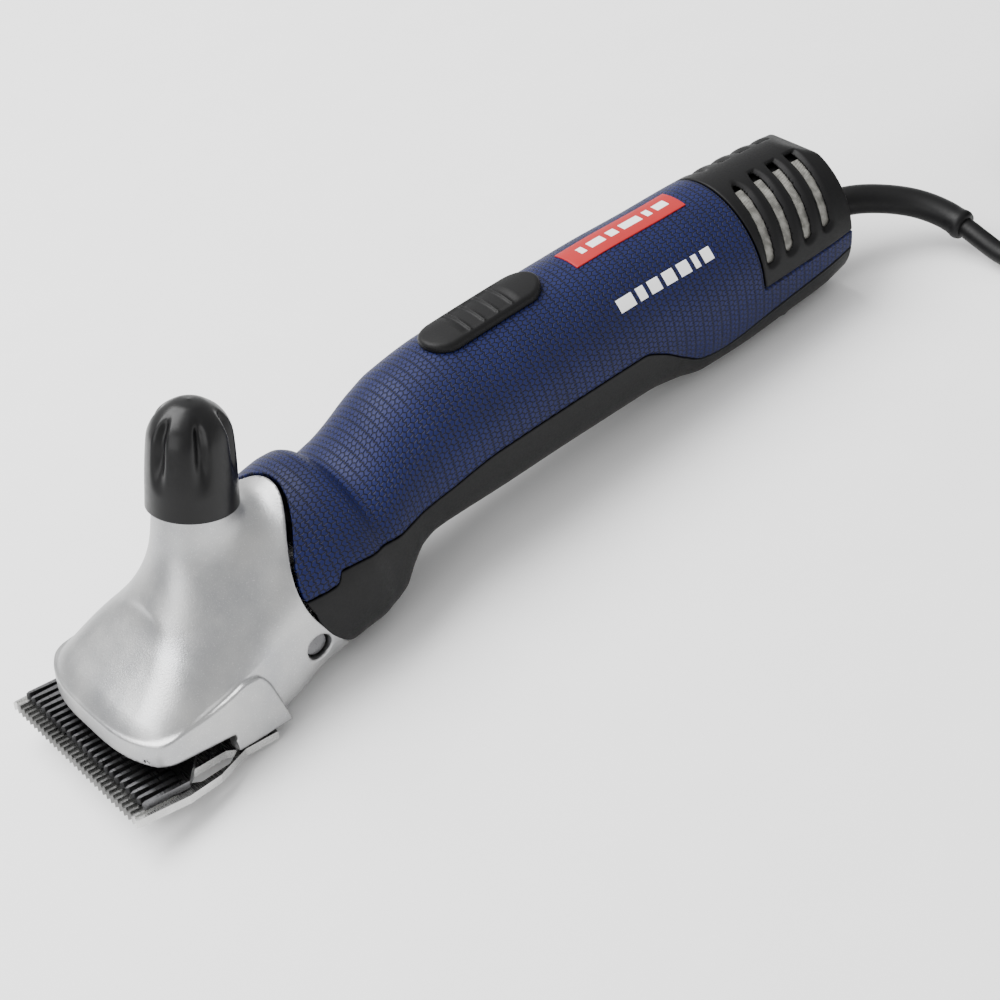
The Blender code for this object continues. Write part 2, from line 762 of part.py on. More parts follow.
def air_filters(tool):
    """A strip of mesh behind the slots of each side."""
    made = []
    for name, side in (("filter_left", -1), ("filter_right", 1)):
        grids = []
        for inset in (CAP_WALL + GAP, CAP_WALL + GAP + 0.9):
            grid = []
            for x in (272.5, 282.0, 292.0, 302.0, 305.5):
                angles = [math.radians(a) * side for a in (22, 40, 58, 76, 90)]
                grid.append([tube_point(x, a, inset) for a in angles])
            grids.append(grid)
        made.append(wall_from_grids(name, grids[0], grids[1], lambda i, j: True, tool, filter_mesh()))
    return made


def rear_bulkhead(tool):
    """Wall inside the tail that holds the strain relief."""
    plate = disc_in_body("rear_bulkhead", 308.2, 311.2, CAP_RECESS + 1.8 + GAP, tool, black_plastic())
    hole = [(300.0, 0.0), (300.0, 6.0), (320.0, 6.0), (320.0, 0.0)]
    cutter_piece = lathe("relief_hole", hole, tool, None, axis="X", centre=(0, 0, EXIT_Z), steps=20)
    combine(plate, cutter_piece, "DIFFERENCE")
    return plate


def badge_plate(tool):
    """Blank label, slightly raised, on the back of the grip."""
    grids = []
    for rise in (0.9, GAP):
        grid = []
        for x in (212.0, 223.5, 235.0, 246.5, 258.0):
            grid.append([tube_point(x, math.radians(a), -rise) for a in (-15, -7.5, 0, 7.5, 15)])
        grids.append(grid)
    return wall_from_grids("badge_plate", grids[0], grids[1], lambda i, j: True, tool, red_label())


# ---------------------------------------------------------------- switch

SWITCH_X = 176.0
SWITCH_HALF = 23.0
SWITCH_SIDE = 8.5


def switch_slider(tool):
    """Long oval button that slides on the grip, with a stem through the shell."""
    grids = []
    for rise in (2.8, GAP):
        grid = []
        for k in range(13):
            u = -math.cos(math.pi * k / 12) * 0.985
            x = SWITCH_X + SWITCH_HALF * u
            reach = max(0.0, abs(u) * SWITCH_HALF - (SWITCH_HALF - SWITCH_SIDE))
            side = math.sqrt(SWITCH_SIDE**2 - reach**2)
            grid.append([on_grip(x, side * v, rise) for v in (-1, -0.6, -0.2, 0.2, 0.6, 1)])
        grids.append(grid)
    slider = wall_from_grids("switch_slider", grids[0], grids[1], lambda i, j: True, tool, black_plastic())
    stem = box("switch_stem", (175.0, -2.4, 60.4), (181.0, 2.4, 67.4), tool, None)
    combine(slider, stem, "UNION")
    return slider


def on_grip(x, y, rise):
    """A point above the back of the grip."""
    middle, half, top, _, _ = lerp_row(BODY, x)
    z = middle + (top - middle) * math.sqrt(1 - (y / half) ** 2)
    return Vector((x, y, z + rise))


def switch_body(tool):
    return box("switch_body", (226.0, -9.0, 47.0), (250.0, 9.0, 57.0), tool, black_plastic())


def switch_rod(tool):
    """Flat rod that carries the slider's motion back over the motor to the switch."""
    return box("switch_rod", (174.0, -2.6, 59.2), (244.0, 2.6, 60.1), tool, tool_steel())


# ---------------------------------------------------------------- motor and drive


def ring_piece(name, low, high, inner, outer, z, parent, finish, steps=24):
    profile = [(low, inner), (low, outer), (high, outer), (high, inner)]
    return lathe(name, profile, parent, finish, axis="X", centre=(0, 0, z), steps=steps, ring=True)


def motor_fixed_parts(tool):
    ring_piece("stator_core", 146.0, 184.0, 12.6, 20.4, MOTOR_Z, tool, laminated_steel(), 28)
    ring_piece("field_winding_front", 141.0, 145.7, 13.2, 19.0, MOTOR_Z, tool, copper())
    ring_piece("field_winding_rear", 184.3, 189.0, 13.2, 19.0, MOTOR_Z, tool, copper())
    ring_piece("front_bearing", 121.2, 128.2, 4.3, 10.6, MOTOR_Z, tool, tool_steel())
    ring_piece("rear_bearing", 216.0, 222.0, 3.3, 9.2, MOTOR_Z, tool, tool_steel())
    ring_piece("crank_bearing", 97.5, 103.5, 5.3, 10.6, CRANK_Z, tool, tool_steel())
    ring_piece("bearing_bracket", 215.6, 222.4, 9.5, 13.0, MOTOR_Z, tool, black_plastic())
    for side in (-1, 1):
        brush_gear(tool, side)


def brush_gear(tool, side):
    """Brass holder with a carbon brush and its spring, on one side of the commutator."""
    hand = side_name(side)
    low, high = sorted((12.5 * side, 21.0 * side))
    holder = box("brush_holder_" + hand, (197.0, low, 33.6), (209.0, high, 42.4), tool, brass())
    low, high = sorted((11.0 * side, 22.0 * side))
    slot = box("holder_slot_" + hand, (199.4, low, 35.9), (206.6, high, 40.1), tool, None)
    combine(holder, slot, "DIFFERENCE")
    low, high = sorted((9.5 * side, 16.5 * side))
    box("carbon_brush_" + hand, (199.8, low, 36.2), (206.2, high, 39.8), tool, carbon())
    low, high = sorted((16.9 * side, 20.6 * side))
    box("brush_spring_" + hand, (201.2, low, 36.8), (204.8, high, 39.2), tool, tool_steel())


def gear_plate(tool):
    """Aluminium wall behind the gears, with a cup for the motor's front bearing."""
    plate = disc_in_body("gear_plate", 116.6, 120.6, WALL + GAP, tool, cast_aluminium())
    cup = [(120.1, 0.0), (120.1, 12.1), (128.6, 12.1), (128.6, 0.0)]
    combine(plate, lathe("bearing_cup", cup, tool, None, axis="X", centre=(0, 0, MOTOR_Z)), "UNION")
    seat = [(121.0, 0.0), (121.0, 10.9), (132.0, 10.9), (132.0, 0.0)]
    combine(plate, lathe("bearing_seat", seat, tool, None, axis="X", centre=(0, 0, MOTOR_Z)), "DIFFERENCE")
    shaft = [(110.0, 0.0), (110.0, 4.4), (125.0, 4.4), (125.0, 0.0)]
    combine(plate, lathe("shaft_hole", shaft, tool, None, axis="X", centre=(0, 0, MOTOR_Z), steps=16), "DIFFERENCE")
    hole = [(110.0, 0.0), (110.0, 4.3), (119.0, 4.3), (119.0, 0.0)]
    combine(plate, lathe("crank_hole", hole, tool, None, axis="X", centre=(0, 0, CRANK_Z), steps=16), "DIFFERENCE")
    return plate


def crank_carrier(tool):
    """Plate in the head's mouth that holds the crank's bearing."""
    plate = disc_in_body("crank_carrier", 97.4, 103.6, CASTING_WALL + 1.2, tool, cast_aluminium())
    seat = [(90.0, 0.0), (90.0, 10.9), (110.0, 10.9), (110.0, 0.0)]
    combine(plate, lathe("crank_seat", seat, tool, None, axis="X", centre=(0, 0, CRANK_Z)), "DIFFERENCE")
    return plate


def gear(name, teeth, pitch_radius, bore, z, first_angle, low, high, parent, finish):
    """Spur gear with straight-sided teeth, four points to a tooth, and a round bore."""
    bm = bmesh.new()
    loops = []
    for x in (low, high):
        outside, inside = [], []
        for k in range(teeth):
            middle = first_angle + 2 * math.pi * k / teeth
            for radius, half in ((-1.15, -0.85), (0.85, -0.35), (0.85, 0.35), (-1.15, 0.85)):
                reach = pitch_radius + radius
                angle = middle + half / pitch_radius
                outside.append(bm.verts.new((x, reach * math.cos(angle), z + reach * math.sin(angle))))
                inside.append(bm.verts.new((x, bore * math.cos(angle), z + bore * math.sin(angle))))
        loops.append((outside, inside))
    (out_a, in_a), (out_b, in_b) = loops
    skin(bm, [in_a, out_a, out_b, in_b, in_a], True)
    return add_object(name, bm, parent, finish, smooth=False)


def rotor(axle):
    """Everything that turns with the motor shaft, drawn about the axle's x axis."""
    shaft = [(104.2, 0.0), (104.2, 2.6), (120.0, 2.6), (120.0, 4.0), (214.0, 4.0), (214.0, 3.0)]
    shaft += [(224.0, 3.0), (224.0, 0.0)]
    lathe("rotor_shaft", shaft, axle, tool_steel(), axis="X", steps=16)
    ring_piece("armature_core", 147.0, 183.0, 4.3, 11.8, 0.0, axle, laminated_steel())
    ring_piece("armature_winding_front", 141.5, 146.7, 4.3, 10.4, 0.0, axle, copper())
    ring_piece("armature_winding_rear", 183.3, 189.0, 4.3, 10.4, 0.0, axle, copper())
    ring_piece("commutator", 196.0, 210.0, 4.3, 9.1, 0.0, axle, copper())
    pinion_radius = GEAR_DISTANCE * PINION_TEETH / (PINION_TEETH + WHEEL_TEETH)
    first = -math.pi / 2 + math.pi / PINION_TEETH
    gear("motor_pinion", PINION_TEETH, pinion_radius, 2.9, 0.0, first, 105.0, 113.0, axle, tool_steel())
    cooling_fan(axle)


def cooling_fan(axle):
    """Hub with nine flat blades."""
    hub = [(131.5, 4.3), (131.5, 8.0), (138.5, 8.0), (138.5, 4.3)]
    fan = lathe("cooling_fan", hub, axle, white_plastic(), axis="X", ring=True)
    for k in range(9):
        blade = box("blade", (132.0, 7.0, -0.7), (138.0, 17.0, 0.7), axle, None)
        blade.rotation_euler = (2 * math.pi * k / 9, 0.0, 0.0)
        combine(fan, blade, "UNION")
    return fan


def crank(axle):
    """Crank shaft with its wheel and the eccentric pin and roller that swing the lever."""
    wheel_radius = GEAR_DISTANCE * WHEEL_TEETH / (PINION_TEETH + WHEEL_TEETH)
    shaft = [(92.0, 0.0), (92.0, 8.0), (96.6, 8.0), (96.6, 5.0), (105.0, 5.0), (105.0, 4.0)]
    shaft += [(118.4, 4.0), (118.4, 0.0)]
    body = lathe("crank_shaft", shaft, axle, tool_steel(), axis="X", steps=20)
    pin = [(84.0, 0.0), (84.0, 2.4), (93.0, 2.4), (93.0, 0.0)]
    combine(body, lathe("crank_pin", pin, axle, None, axis="X", centre=(0, 0, CRANK_THROW), steps=12), "UNION")
    ring_piece("crank_roller", 84.4, 91.6, 2.7, 4.5, CRANK_THROW, axle, tool_steel(), 16)
    gear("crank_wheel", WHEEL_TEETH, wheel_radius, 4.3, 0.0, math.pi / 2, 106.0, 112.0, axle, brass())


# ---------------------------------------------------------------- cord


def tube_along(name, points, radii, finish, sides=12):
    """A closed tube through world points in millimetres, with its own radius at each point."""
    bm = bmesh.new()
    rings = []
    for k, point in enumerate(points):
        ahead = points[min(k + 1, len(points) - 1)] - points[max(k - 1, 0)]
        ahead.normalize()
        across = ahead.cross(Vector((0, 0, 1))).normalized()
        up = across.cross(ahead)
        ring = []
        for j in range(sides):
            angle = 2 * math.pi * j / sides
            ring.append(bm.verts.new(point + radii[k] * (across * math.cos(angle) + up * math.sin(angle))))
        rings.append(ring)
    skin(bm, rings, True)
    bm.faces.new(rings[0])
    bm.faces.new(rings[-1])
    return add_object(name, bm, None, finish)


def smooth_route(route, count):
    """Points evenly spaced in parameter on a Catmull-Rom curve through the route."""
    knots = [Vector(p) for p in route]
    knots = [2 * knots[0] - knots[1]] + knots + [2 * knots[-1] - knots[-2]]
    points = []
    spans = len(knots) - 3
    for k in range(count + 1):
        place = min(k / count * spans, spans - 1e-9)
        i = int(place)
        t = place - i
        a, b, c, d = knots[i : i + 4]
        points.append(0.5 * (2 * b + (c - a) * t + (2 * a - 5 * b + 4 * c - d) * t**2 + (3 * b - a - 3 * c + d) * t**3))
    return points


RELIEF_ROUTE = (
    (148.3, 0.0, 22.6),
    (155.0, 0.0, 22.15),
    (163.0, -1.6, 21.5),
    (172.0, -6.0, 20.8),
    (180.6, -13.0, 18.6),
    (187.6, -22.5, 15.6),
    (190.6, -32.0, 12.8),
    (191.0, -40.0, 10.5),
)
CORD_ROUTE = (
    (191.0, -40.35, 10.4),
    (190.6, -48.0, 8.2),
    (190.4, -56.0, 5.9),
    (191.6, -66.0, 4.2),
    (196.5, -79.0, 3.6),
    (205.5, -90.0, 3.55),
    (217.5, -98.0, 3.55),
    (230.0, -102.0, 3.55),
    (242.9, -103.0, 3.55),
)


def strain_relief():
    """Tapered rubber sleeve bent over the tail's rim, with a thicker lip at its end."""
    points = smooth_route(RELIEF_ROUTE, 22)
    radii = [5.35 - 0.5 * k / 22 for k in range(23)]
    radii[-2] = radii[-1] = 5.2
    return tube_along("strain_relief", points, radii, black_rubber())


def cord_piece(name, route, steps):
    points = smooth_route(route, steps)
    curve = bpy.data.curves.new(name, "CURVE")
    curve.dimensions = "3D"
    curve.bevel_depth = CORD_R * MM
    curve.bevel_resolution = 2
    curve.use_fill_caps = True
    line = curve.splines.new("POLY")
    line.points.add(len(points) - 1)
    for k, point in enumerate(points):
        line.points[k].co = (*(point * MM), 1.0)
    curve.materials.append(black_rubber())
    obj = bpy.data.objects.new(name, curve)
    bpy.context.scene.collection.objects.link(obj)
    return obj


def cord_coil():
    """Outer shape of the wound length: a ring of four layers."""
    low, high = TURN_INNER - 5.4, TURN_OUTER + 5.3
    top = 2 * CORD_R * COIL_LAYERS + 0.1
    profile = [(0.05, low + 1.5), (0.05, high - 1.5), (2.0, high), (top - 2.0, high)]
    profile += [(top, high - 1.5), (top, low + 1.5), (top - 2.0, low), (2.0, low)]
    return lathe("cord_coil", profile, None, black_rubber(), centre=(*COIL_CENTRE, 0.0), steps=48, ring=True)


def tail_route():
    """The last stretch: an arc over the coil, rising until it runs straight into the plug."""
    start, heading = Vector(PLUG_START), PLUG_HEADING
    x, y = COIL_CENTRE
    route = []
    for k in range(9):
        back = math.radians(88.0 * (1 - k / 8))
        along = -30.0 * math.sin(back)
        aside = 30.0 * (1 - math.cos(back))
        part = 1 - 30.0 * back / 110.0
        rise = -16.75 * (1 - part * part * (3 - 2 * part))
        px = x + start.x + along * math.cos(heading) - aside * math.sin(heading)
        py = y + start.y + along * math.sin(heading) + aside * math.cos(heading)
        route.append((px - 0.4 * math.cos(heading), py - 0.4 * math.sin(heading), start.z + rise))
    return route


def plug():
    """Moulded two-pin plug lying on the coil."""
    place = Vector(COIL_CENTRE).to_3d() + Vector(PLUG_START)
    frame = empty("plug_frame", place, 0.0)
    frame.rotation_euler = (0.0, 0.0, PLUG_HEADING)
    profile = [(0.0, 0.0), (0.0, 5.2), (12.0, 6.4), (16.0, 10.0), (24.0, 12.6), (44.0, 12.9)]
    profile += [(46.0, 12.0), (46.0, 0.0)]
    lathe("plug_body", profile, frame, black_rubber(), axis="X", steps=28)
    for side in (-1, 1):
        pin = [(46.3, 0.0), (46.3, 2.4), (64.0, 2.4), (65.3, 1.2), (65.3, 0.0)]
        lathe("plug_pin_" + side_name(side), pin, frame, brass(), axis="X", centre=(0.0, 7.0 * side, 0.0), steps=12)


# ---------------------------------------------------------------- build


def build():
    clear_scene()
    tool = empty("tool", REST_SHIFT, REST_PITCH)
    comb_frame = empty("comb_frame", (0, 0, 0), COMB_TILT, tool)
    pivot = empty("lever_pivot", (PIVOT_X, 0, 0), 0.0, comb_frame)
    screw_frame = empty("screw_frame", SCREW_RIM, SCREW_LEAN, tool)
    motor_axle = empty("motor_axle", (0, 0, MOTOR_Z), 0.0, tool)
    crank_axle = empty("crank_axle", (0, 0, CRANK_Z), 0.0, tool)
    head_casting(tool, screw_frame, comb_frame)
    side_screws(tool)
    comb(comb_frame)
    comb_screws(comb_frame)
    pivot_post(comb_frame)
    cutter(comb_frame)
    drive_pins(comb_frame)
    swing_lever(comb_frame, pivot)
    pressure_sleeve(screw_frame)
    tension_spring(screw_frame)
    tension_knob(screw_frame)
    grip_housing(tool)
    under_cover(tool)
    cover_screws(tool)
    rear_cap(tool)
    air_filters(tool)
    rear_bulkhead(tool)
    badge_plate(tool)
    switch_slider(tool)
    switch_body(tool)
    switch_rod(tool)
    motor_fixed_parts(tool)
    gear_plate(tool)
    crank_carrier(tool)
    rotor(motor_axle)
    crank(crank_axle)
    strain_relief()
    cord_piece("cord_tube", CORD_ROUTE, 16)
    cord_piece("cord_tail", tail_route(), 12)
    cord_coil()
    plug()


build()
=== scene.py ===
"""Looks of an electric sheep clipper handpiece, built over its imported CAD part.

Shapes are written in millimetres in the tool frame: x runs back along the motor axis, y is the width
and z points out of the back of the grip. world() lays them down on the surface, in metres.
"""

import json
import math

import bpy
import numpy as np
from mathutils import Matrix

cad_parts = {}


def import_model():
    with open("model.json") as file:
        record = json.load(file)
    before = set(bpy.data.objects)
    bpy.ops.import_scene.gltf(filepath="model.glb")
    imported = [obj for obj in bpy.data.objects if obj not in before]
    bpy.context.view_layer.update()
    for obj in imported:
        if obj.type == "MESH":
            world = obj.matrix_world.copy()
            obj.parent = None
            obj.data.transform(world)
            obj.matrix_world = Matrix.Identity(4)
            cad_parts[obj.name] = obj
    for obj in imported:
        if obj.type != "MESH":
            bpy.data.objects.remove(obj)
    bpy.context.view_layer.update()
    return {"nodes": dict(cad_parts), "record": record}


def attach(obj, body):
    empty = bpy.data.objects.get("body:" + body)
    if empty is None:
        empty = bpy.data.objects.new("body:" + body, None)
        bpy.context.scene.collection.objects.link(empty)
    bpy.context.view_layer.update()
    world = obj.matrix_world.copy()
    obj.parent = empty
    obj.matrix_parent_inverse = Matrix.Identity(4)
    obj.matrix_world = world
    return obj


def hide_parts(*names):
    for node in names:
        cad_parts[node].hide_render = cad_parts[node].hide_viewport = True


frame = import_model()

# ---------------------------------------------------------------- frames and sections

PITCH = math.radians(3.859)
SHIFT = np.array([-157.57, 0.0, 13.74])
TILT = math.radians(8.0)
LEAN = math.radians(16.0)
RIM = np.array([64.1, 0.0, 61.0])

# x, height of the widest line, half width, top, bottom, roundness of the lower half
BODY = np.array([
    (76.0, 23.5, 31.0, 50.3, -5.4, 3.4), (84.0, 24.0, 31.2, 51.4, -5.2, 2.9),
    (92.0, 24.6, 31.2, 53.4, -5.0, 2.8), (97.0, 25.0, 31.1, 54.2, -4.9, 2.7),
    (101.0, 25.0, 30.9, 54.0, -4.7, 2.7), (104.0, 25.0, 30.2, 52.4, -4.7, 2.7),
    (108.0, 25.0, 28.5, 48.0, -4.3, 2.7), (114.0, 27.0, 27.0, 49.7, -4.0, 2.5),
    (120.0, 30.0, 25.2, 53.2, 1.5, 2.4), (126.0, 33.0, 24.2, 57.3, 6.4, 2.3),
    (132.0, 35.5, 24.3, 60.3, 8.7, 2.3), (140.0, 37.5, 25.0, 62.9, 9.2, 2.3),
    (160.0, 39.5, 25.5, 65.3, 9.0, 2.3), (190.0, 40.0, 25.5, 65.9, 9.4, 2.3),
    (222.0, 40.0, 25.5, 66.0, 9.4, 2.3), (236.0, 39.0, 25.7, 65.6, 7.3, 2.3),
    (247.0, 38.0, 26.0, 65.2, 4.4, 2.3), (262.0, 38.0, 26.0, 65.0, 4.2, 2.3),
    (286.0, 38.0, 25.6, 63.8, 5.6, 2.3), (302.0, 38.0, 25.0, 62.6, 6.6, 2.3),
    (312.0, 38.0, 24.0, 61.4, 8.7, 2.3),
])
# x, height of the seam between the blue and the black shell
SEAM = np.array([
    (76.0, 29.2), (86.0, 28.6), (88.5, 29.2), (90.5, 32.0), (105.0, 30.4), (117.0, 28.4),
    (130.0, 30.0), (158.0, 34.6), (217.0, 35.4), (225.0, 31.7), (234.0, 24.5), (242.0, 19.0),
    (252.0, 17.6), (271.0, 20.4), (297.0, 23.4), (312.0, 25.4),
])
CAP_FRONT = 270.0
CAP_EDGE = 32.5
REAR = 312.0


def turn(p, angle):
    """Points turned about y: x' = x cos a + z sin a, z' = z cos a - x sin a."""
    p = np.asarray(p, float)
    c, s = math.cos(angle), math.sin(angle)
    return np.stack([p[..., 0] * c + p[..., 2] * s, p[..., 1], p[..., 2] * c - p[..., 0] * s], -1)


def world(p):
    """Tool frame in millimetres to the row frame in metres."""
    return (turn(p, PITCH) + SHIFT) * 0.001


def smoothstep(a, b, x):
    """3 t^2 - 2 t^3, t running from 0 at a to 1 at b."""
    t = np.clip((x - a) / (b - a), 0.0, 1.0)
    return t * t * (3 - 2 * t)


def curve(table, x):
    """Monotone cubic through a table's rows: slopes are harmonic means of the neighbouring ones."""
    xs, ys = table[:, 0], table[:, 1:]
    h = np.diff(xs)[:, None]
    d = np.diff(ys, axis=0) / h
    m = np.zeros_like(ys)
    m[0], m[-1] = d[0], d[-1]
    same = d[:-1] * d[1:] > 0
    m[1:-1] = np.where(same, 2 * d[:-1] * d[1:] / np.where(same, d[:-1] + d[1:], 1.0), 0.0)
    x = np.clip(np.asarray(x, float), xs[0], xs[-1])
    i = np.clip(np.searchsorted(xs, x) - 1, 0, len(xs) - 2)
    w = h[i][..., 0]
    t = ((x - xs[i]) / w)[..., None]
    w = w[..., None]
    a = ys[i] * (2 * t**3 - 3 * t**2 + 1) + ys[i + 1] * (3 * t**2 - 2 * t**3)
    return a + w * (m[i] * (t**3 - 2 * t**2 + t) + m[i + 1] * (t**3 - t**2))


def section(x, angle, inset=0.0):
    """Body surface at x and an angle from the top: y = A |sin|^(2/n), z = c + B |cos|^(2/n), n = 2 above."""
    row = curve(BODY, x)
    middle, half, top, bottom, power = (row[..., k] for k in range(5))
    half = half - inset
    s, c = np.sin(angle), np.cos(angle)
    above = c >= 0
    n = np.where(above, 2.0, power)
    y = np.sign(s) * half * np.abs(s) ** (2 / n)
    reach = np.where(above, top - middle - inset, middle - bottom - inset)
    z = middle + np.sign(c) * reach * np.abs(c) ** (2 / n)
    return np.stack([x + 0 * y, y, z], -1)


def angle_at(x, z):
    """Angle from the top at which the section reaches height z."""
    row = curve(BODY, x)
    middle, top, bottom, power = row[..., 0], row[..., 2], row[..., 3], row[..., 4]
    up = np.arccos(np.clip((z - middle) / (top - middle), 0, 1))
    down = math.pi - np.arccos(np.clip(((middle - z) / (middle - bottom)), 0, 1) ** (power / 2))
    return np.where(z >= middle, up, down)


def mouth(angle):
    """Front edge of the tube: 76.3 + 15 cos^2(1.2 a), a measured from the top either way."""
    a = np.minimum(np.abs(angle), 2 * math.pi - np.abs(angle))
    return 76.3 + 15.0 * np.cos(np.minimum(1.2 * a, math.pi)) ** 2


def body_distance(p, table=BODY):
    """Radial distance to the section: r (1 - 1/rho), rho being the superellipse's own norm."""
    row = curve(table, p[..., 0])
    middle, half, top, bottom, power = (row[..., k] for k in range(5))
    w = p[..., 2] - middle
    above = w >= 0
    n = np.where(above, 2.0, power)
    reach = np.where(above, top - middle, middle - bottom)
    rho = (np.abs(p[..., 1] / half) ** n + np.abs(w / reach) ** n) ** (1 / n)
    return np.hypot(p[..., 1], w) * (1 - 1 / np.maximum(rho, 1e-3))


# ---------------------------------------------------------------- meshes


def make(name, points, faces, body, material, uv=None):
    """A smooth mesh object from points in metres and faces of one size, riding on a body."""
    mesh = bpy.data.meshes.new(name)
    faces = np.asarray(faces, np.int32)
    size = faces.shape[1]
    mesh.vertices.add(len(points))
    mesh.vertices.foreach_set("co", np.asarray(points, np.float32).ravel())
    mesh.loops.add(faces.size)
    mesh.loops.foreach_set("vertex_index", faces.ravel())
    mesh.polygons.add(len(faces))
    mesh.polygons.foreach_set("loop_start", np.arange(0, faces.size, size, dtype=np.int32))
    mesh.polygons.foreach_set("use_smooth", np.ones(len(faces), bool))
    mesh.update(calc_edges=True)
    if uv is not None:
        layer = mesh.uv_layers.new(name="flow")
        layer.data.foreach_set("uv", np.asarray(uv, np.float32)[faces.ravel()].ravel())
    mesh.validate()
    obj = bpy.data.objects.new(name, mesh)
    bpy.context.scene.collection.objects.link(obj)
    mesh.materials.append(material)
    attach(obj, body)
    return obj


def grid_faces(n, m, wrap=False):
    """Quads of an n by m grid of points, numbered row by row."""
    i, j = np.meshgrid(np.arange(n - 1), np.arange(m if wrap else m - 1), indexing="ij")
    k = (j + 1) % m
    return np.stack([i * m + j, i * m + k, (i + 1) * m + k, (i + 1) * m + j], -1).reshape(-1, 4)


def grid(name, p, body, material, wrap=False, uv=None, flip=False):
    """A surface through a grid of tool-frame points."""
    faces = grid_faces(p.shape[0], p.shape[1], wrap)
    if flip:
        faces = faces[:, ::-1]
    flat = None if uv is None else uv.reshape(-1, 2)
    return make(name, world(p).reshape(-1, 3), faces, body, material, flat)


def with_rims(p, flow, radius, depth, sides):
    """Rolls chosen sides of a grid inward: a quarter round of that radius, then straight down by depth."""
    along = np.gradient(p, axis=0)
    across = np.gradient(p, axis=1)
    normal = np.cross(along, across)
    normal /= np.linalg.norm(normal, axis=-1, keepdims=True)
    for side in sides:
        axis = 0 if side in ("front", "rear") else 1
        take = 0 if side in ("front", "left") else -1
        edge = np.take(p, take, axis=axis)
        before = np.take(p, 1 if take == 0 else -2, axis=axis)
        out = edge - before
        out /= np.linalg.norm(out, axis=-1, keepdims=True)
        up = np.take(normal, take, axis=axis)
        turns = [math.radians(a) for a in (0, 22, 45, 68, 90)]
        rows = [edge - radius * (out * (1 - math.sin(t)) + up * (1 - math.cos(t))) for t in turns]
        rows.append(rows[-1] - up * depth)
        rows = np.stack(rows, axis)
        marks = np.stack([np.take(flow, take, axis=axis)] * 6, axis)
        ups = np.stack([up] * 6, axis)
        inner = [slice(None)] * 2
        inner[axis] = slice(1, None) if take == 0 else slice(None, -1)
        inner = tuple(inner)
        if take == 0:
            rows, marks = np.flip(rows, axis), np.flip(marks, axis)
            parts = (rows, p[inner]), (marks, flow[inner]), (ups, normal[inner])
        else:
            parts = (p[inner], rows), (flow[inner], marks), (normal[inner], ups)
        p, flow, normal = (np.concatenate(part, axis) for part in parts)
    return p, flow


def isosurface(field, low, high, step):
    """Surface nets of field(p) = 0: a vertex in each crossed cell, pulled onto the surface, and quads between."""
    axes = [np.arange(a, b + step, step) for a, b in zip(low, high)]
    shape = [len(a) for a in axes]
    values = np.empty(shape)
    for k, x in enumerate(axes[0]):
        plane = np.stack(np.meshgrid([x], axes[1], axes[2], indexing="ij"), -1)
        values[k] = field(plane)[0]
    inside = values < 0
    cells = [n - 1 for n in shape]
    total = np.zeros(cells, int)
    corners = [(i, j, k) for i in (0, 1) for j in (0, 1) for k in (0, 1)]
    for i, j, k in corners:
        total += inside[i:i + cells[0], j:j + cells[1], k:k + cells[2]]
    mixed = (total > 0) & (total < 8)
    number = np.full(cells, -1)
    number[mixed] = np.arange(mixed.sum())
    where = np.argwhere(mixed)
    points = np.zeros((len(where), 3))
    weight = np.zeros(len(where))
    steps = [(a, b, np.subtract(b, a)) for a in corners for b in corners]
    for a, b in [(a, b) for a, b, way in steps if way.sum() == 1 and way.min() == 0]:
        fa = values[tuple((where + a).T)]
        fb = values[tuple((where + b).T)]
        cross = (fa < 0) != (fb < 0)
        t = np.where(cross, fa / np.where(cross, fa - fb, 1.0), 0.0)[:, None]
        spot = where + np.array(a) * (1 - t) + np.array(b) * t
        points += np.where(cross[:, None], spot, 0.0)
        weight += cross
    points = np.array(low) + step * points / weight[:, None]
    for _ in range(3):
        slope = np.stack([(field(points + d) - field(points - d)) / 0.1 for d in np.eye(3) * 0.05], -1)
        size = np.maximum((slope**2).sum(-1), 0.05)
        move = slope * (field(points) / size)[:, None]
        points -= np.clip(move, -0.4 * step, 0.4 * step)
    faces = []
    for axis in range(3):
        u, v = [k for k in range(3) if k != axis]
        start = [slice(None)] * 3
        start[axis] = slice(0, -1)
        end = [slice(None)] * 3
        end[axis] = slice(1, None)
        crossed = inside[tuple(start)] != inside[tuple(end)]
        spots = np.argwhere(crossed)
        fits = (spots[:, u] > 0) & (spots[:, v] > 0)
        fits &= (spots[:, u] < shape[u] - 1) & (spots[:, v] < shape[v] - 1)
        spots = spots[fits]
        quads = []
        for du, dv in ((-1, -1), (0, -1), (0, 0), (-1, 0)):
            cell = spots.copy()
            cell[:, u] += du
            cell[:, v] += dv
            quads.append(number[tuple(cell.T)])
        quads = np.stack(quads, -1)
        outward = inside[tuple(spots.T)]
        if axis == 1:
            outward = ~outward
        faces.append(np.where(outward[:, None], quads, quads[:, ::-1]))
    return points, np.concatenate(faces)


def union(a, b, k):
    """Smooth union of two distances: the nearer one, rounded over a width k."""
    h = np.maximum(k - np.abs(a - b), 0.0) / k
    return np.minimum(a, b) - h * h * k / 4


def cut(a, b, k=0.5):
    """Distance a with the solid b taken out, its edges rounded over a width k."""
    return -union(-a, b, k)


def both(a, b, k=0.5):
    """Overlap of two solids, its edges rounded over a width k."""
    return -union(-a, -b, k)


def solid(name, field, low, high, step, body, material):
    """The surface of a distance field as a piece of the object."""
    points, faces = isosurface(field, low, high, step)
    return make(name, world(points), faces, body, material)


# ---------------------------------------------------------------- materials


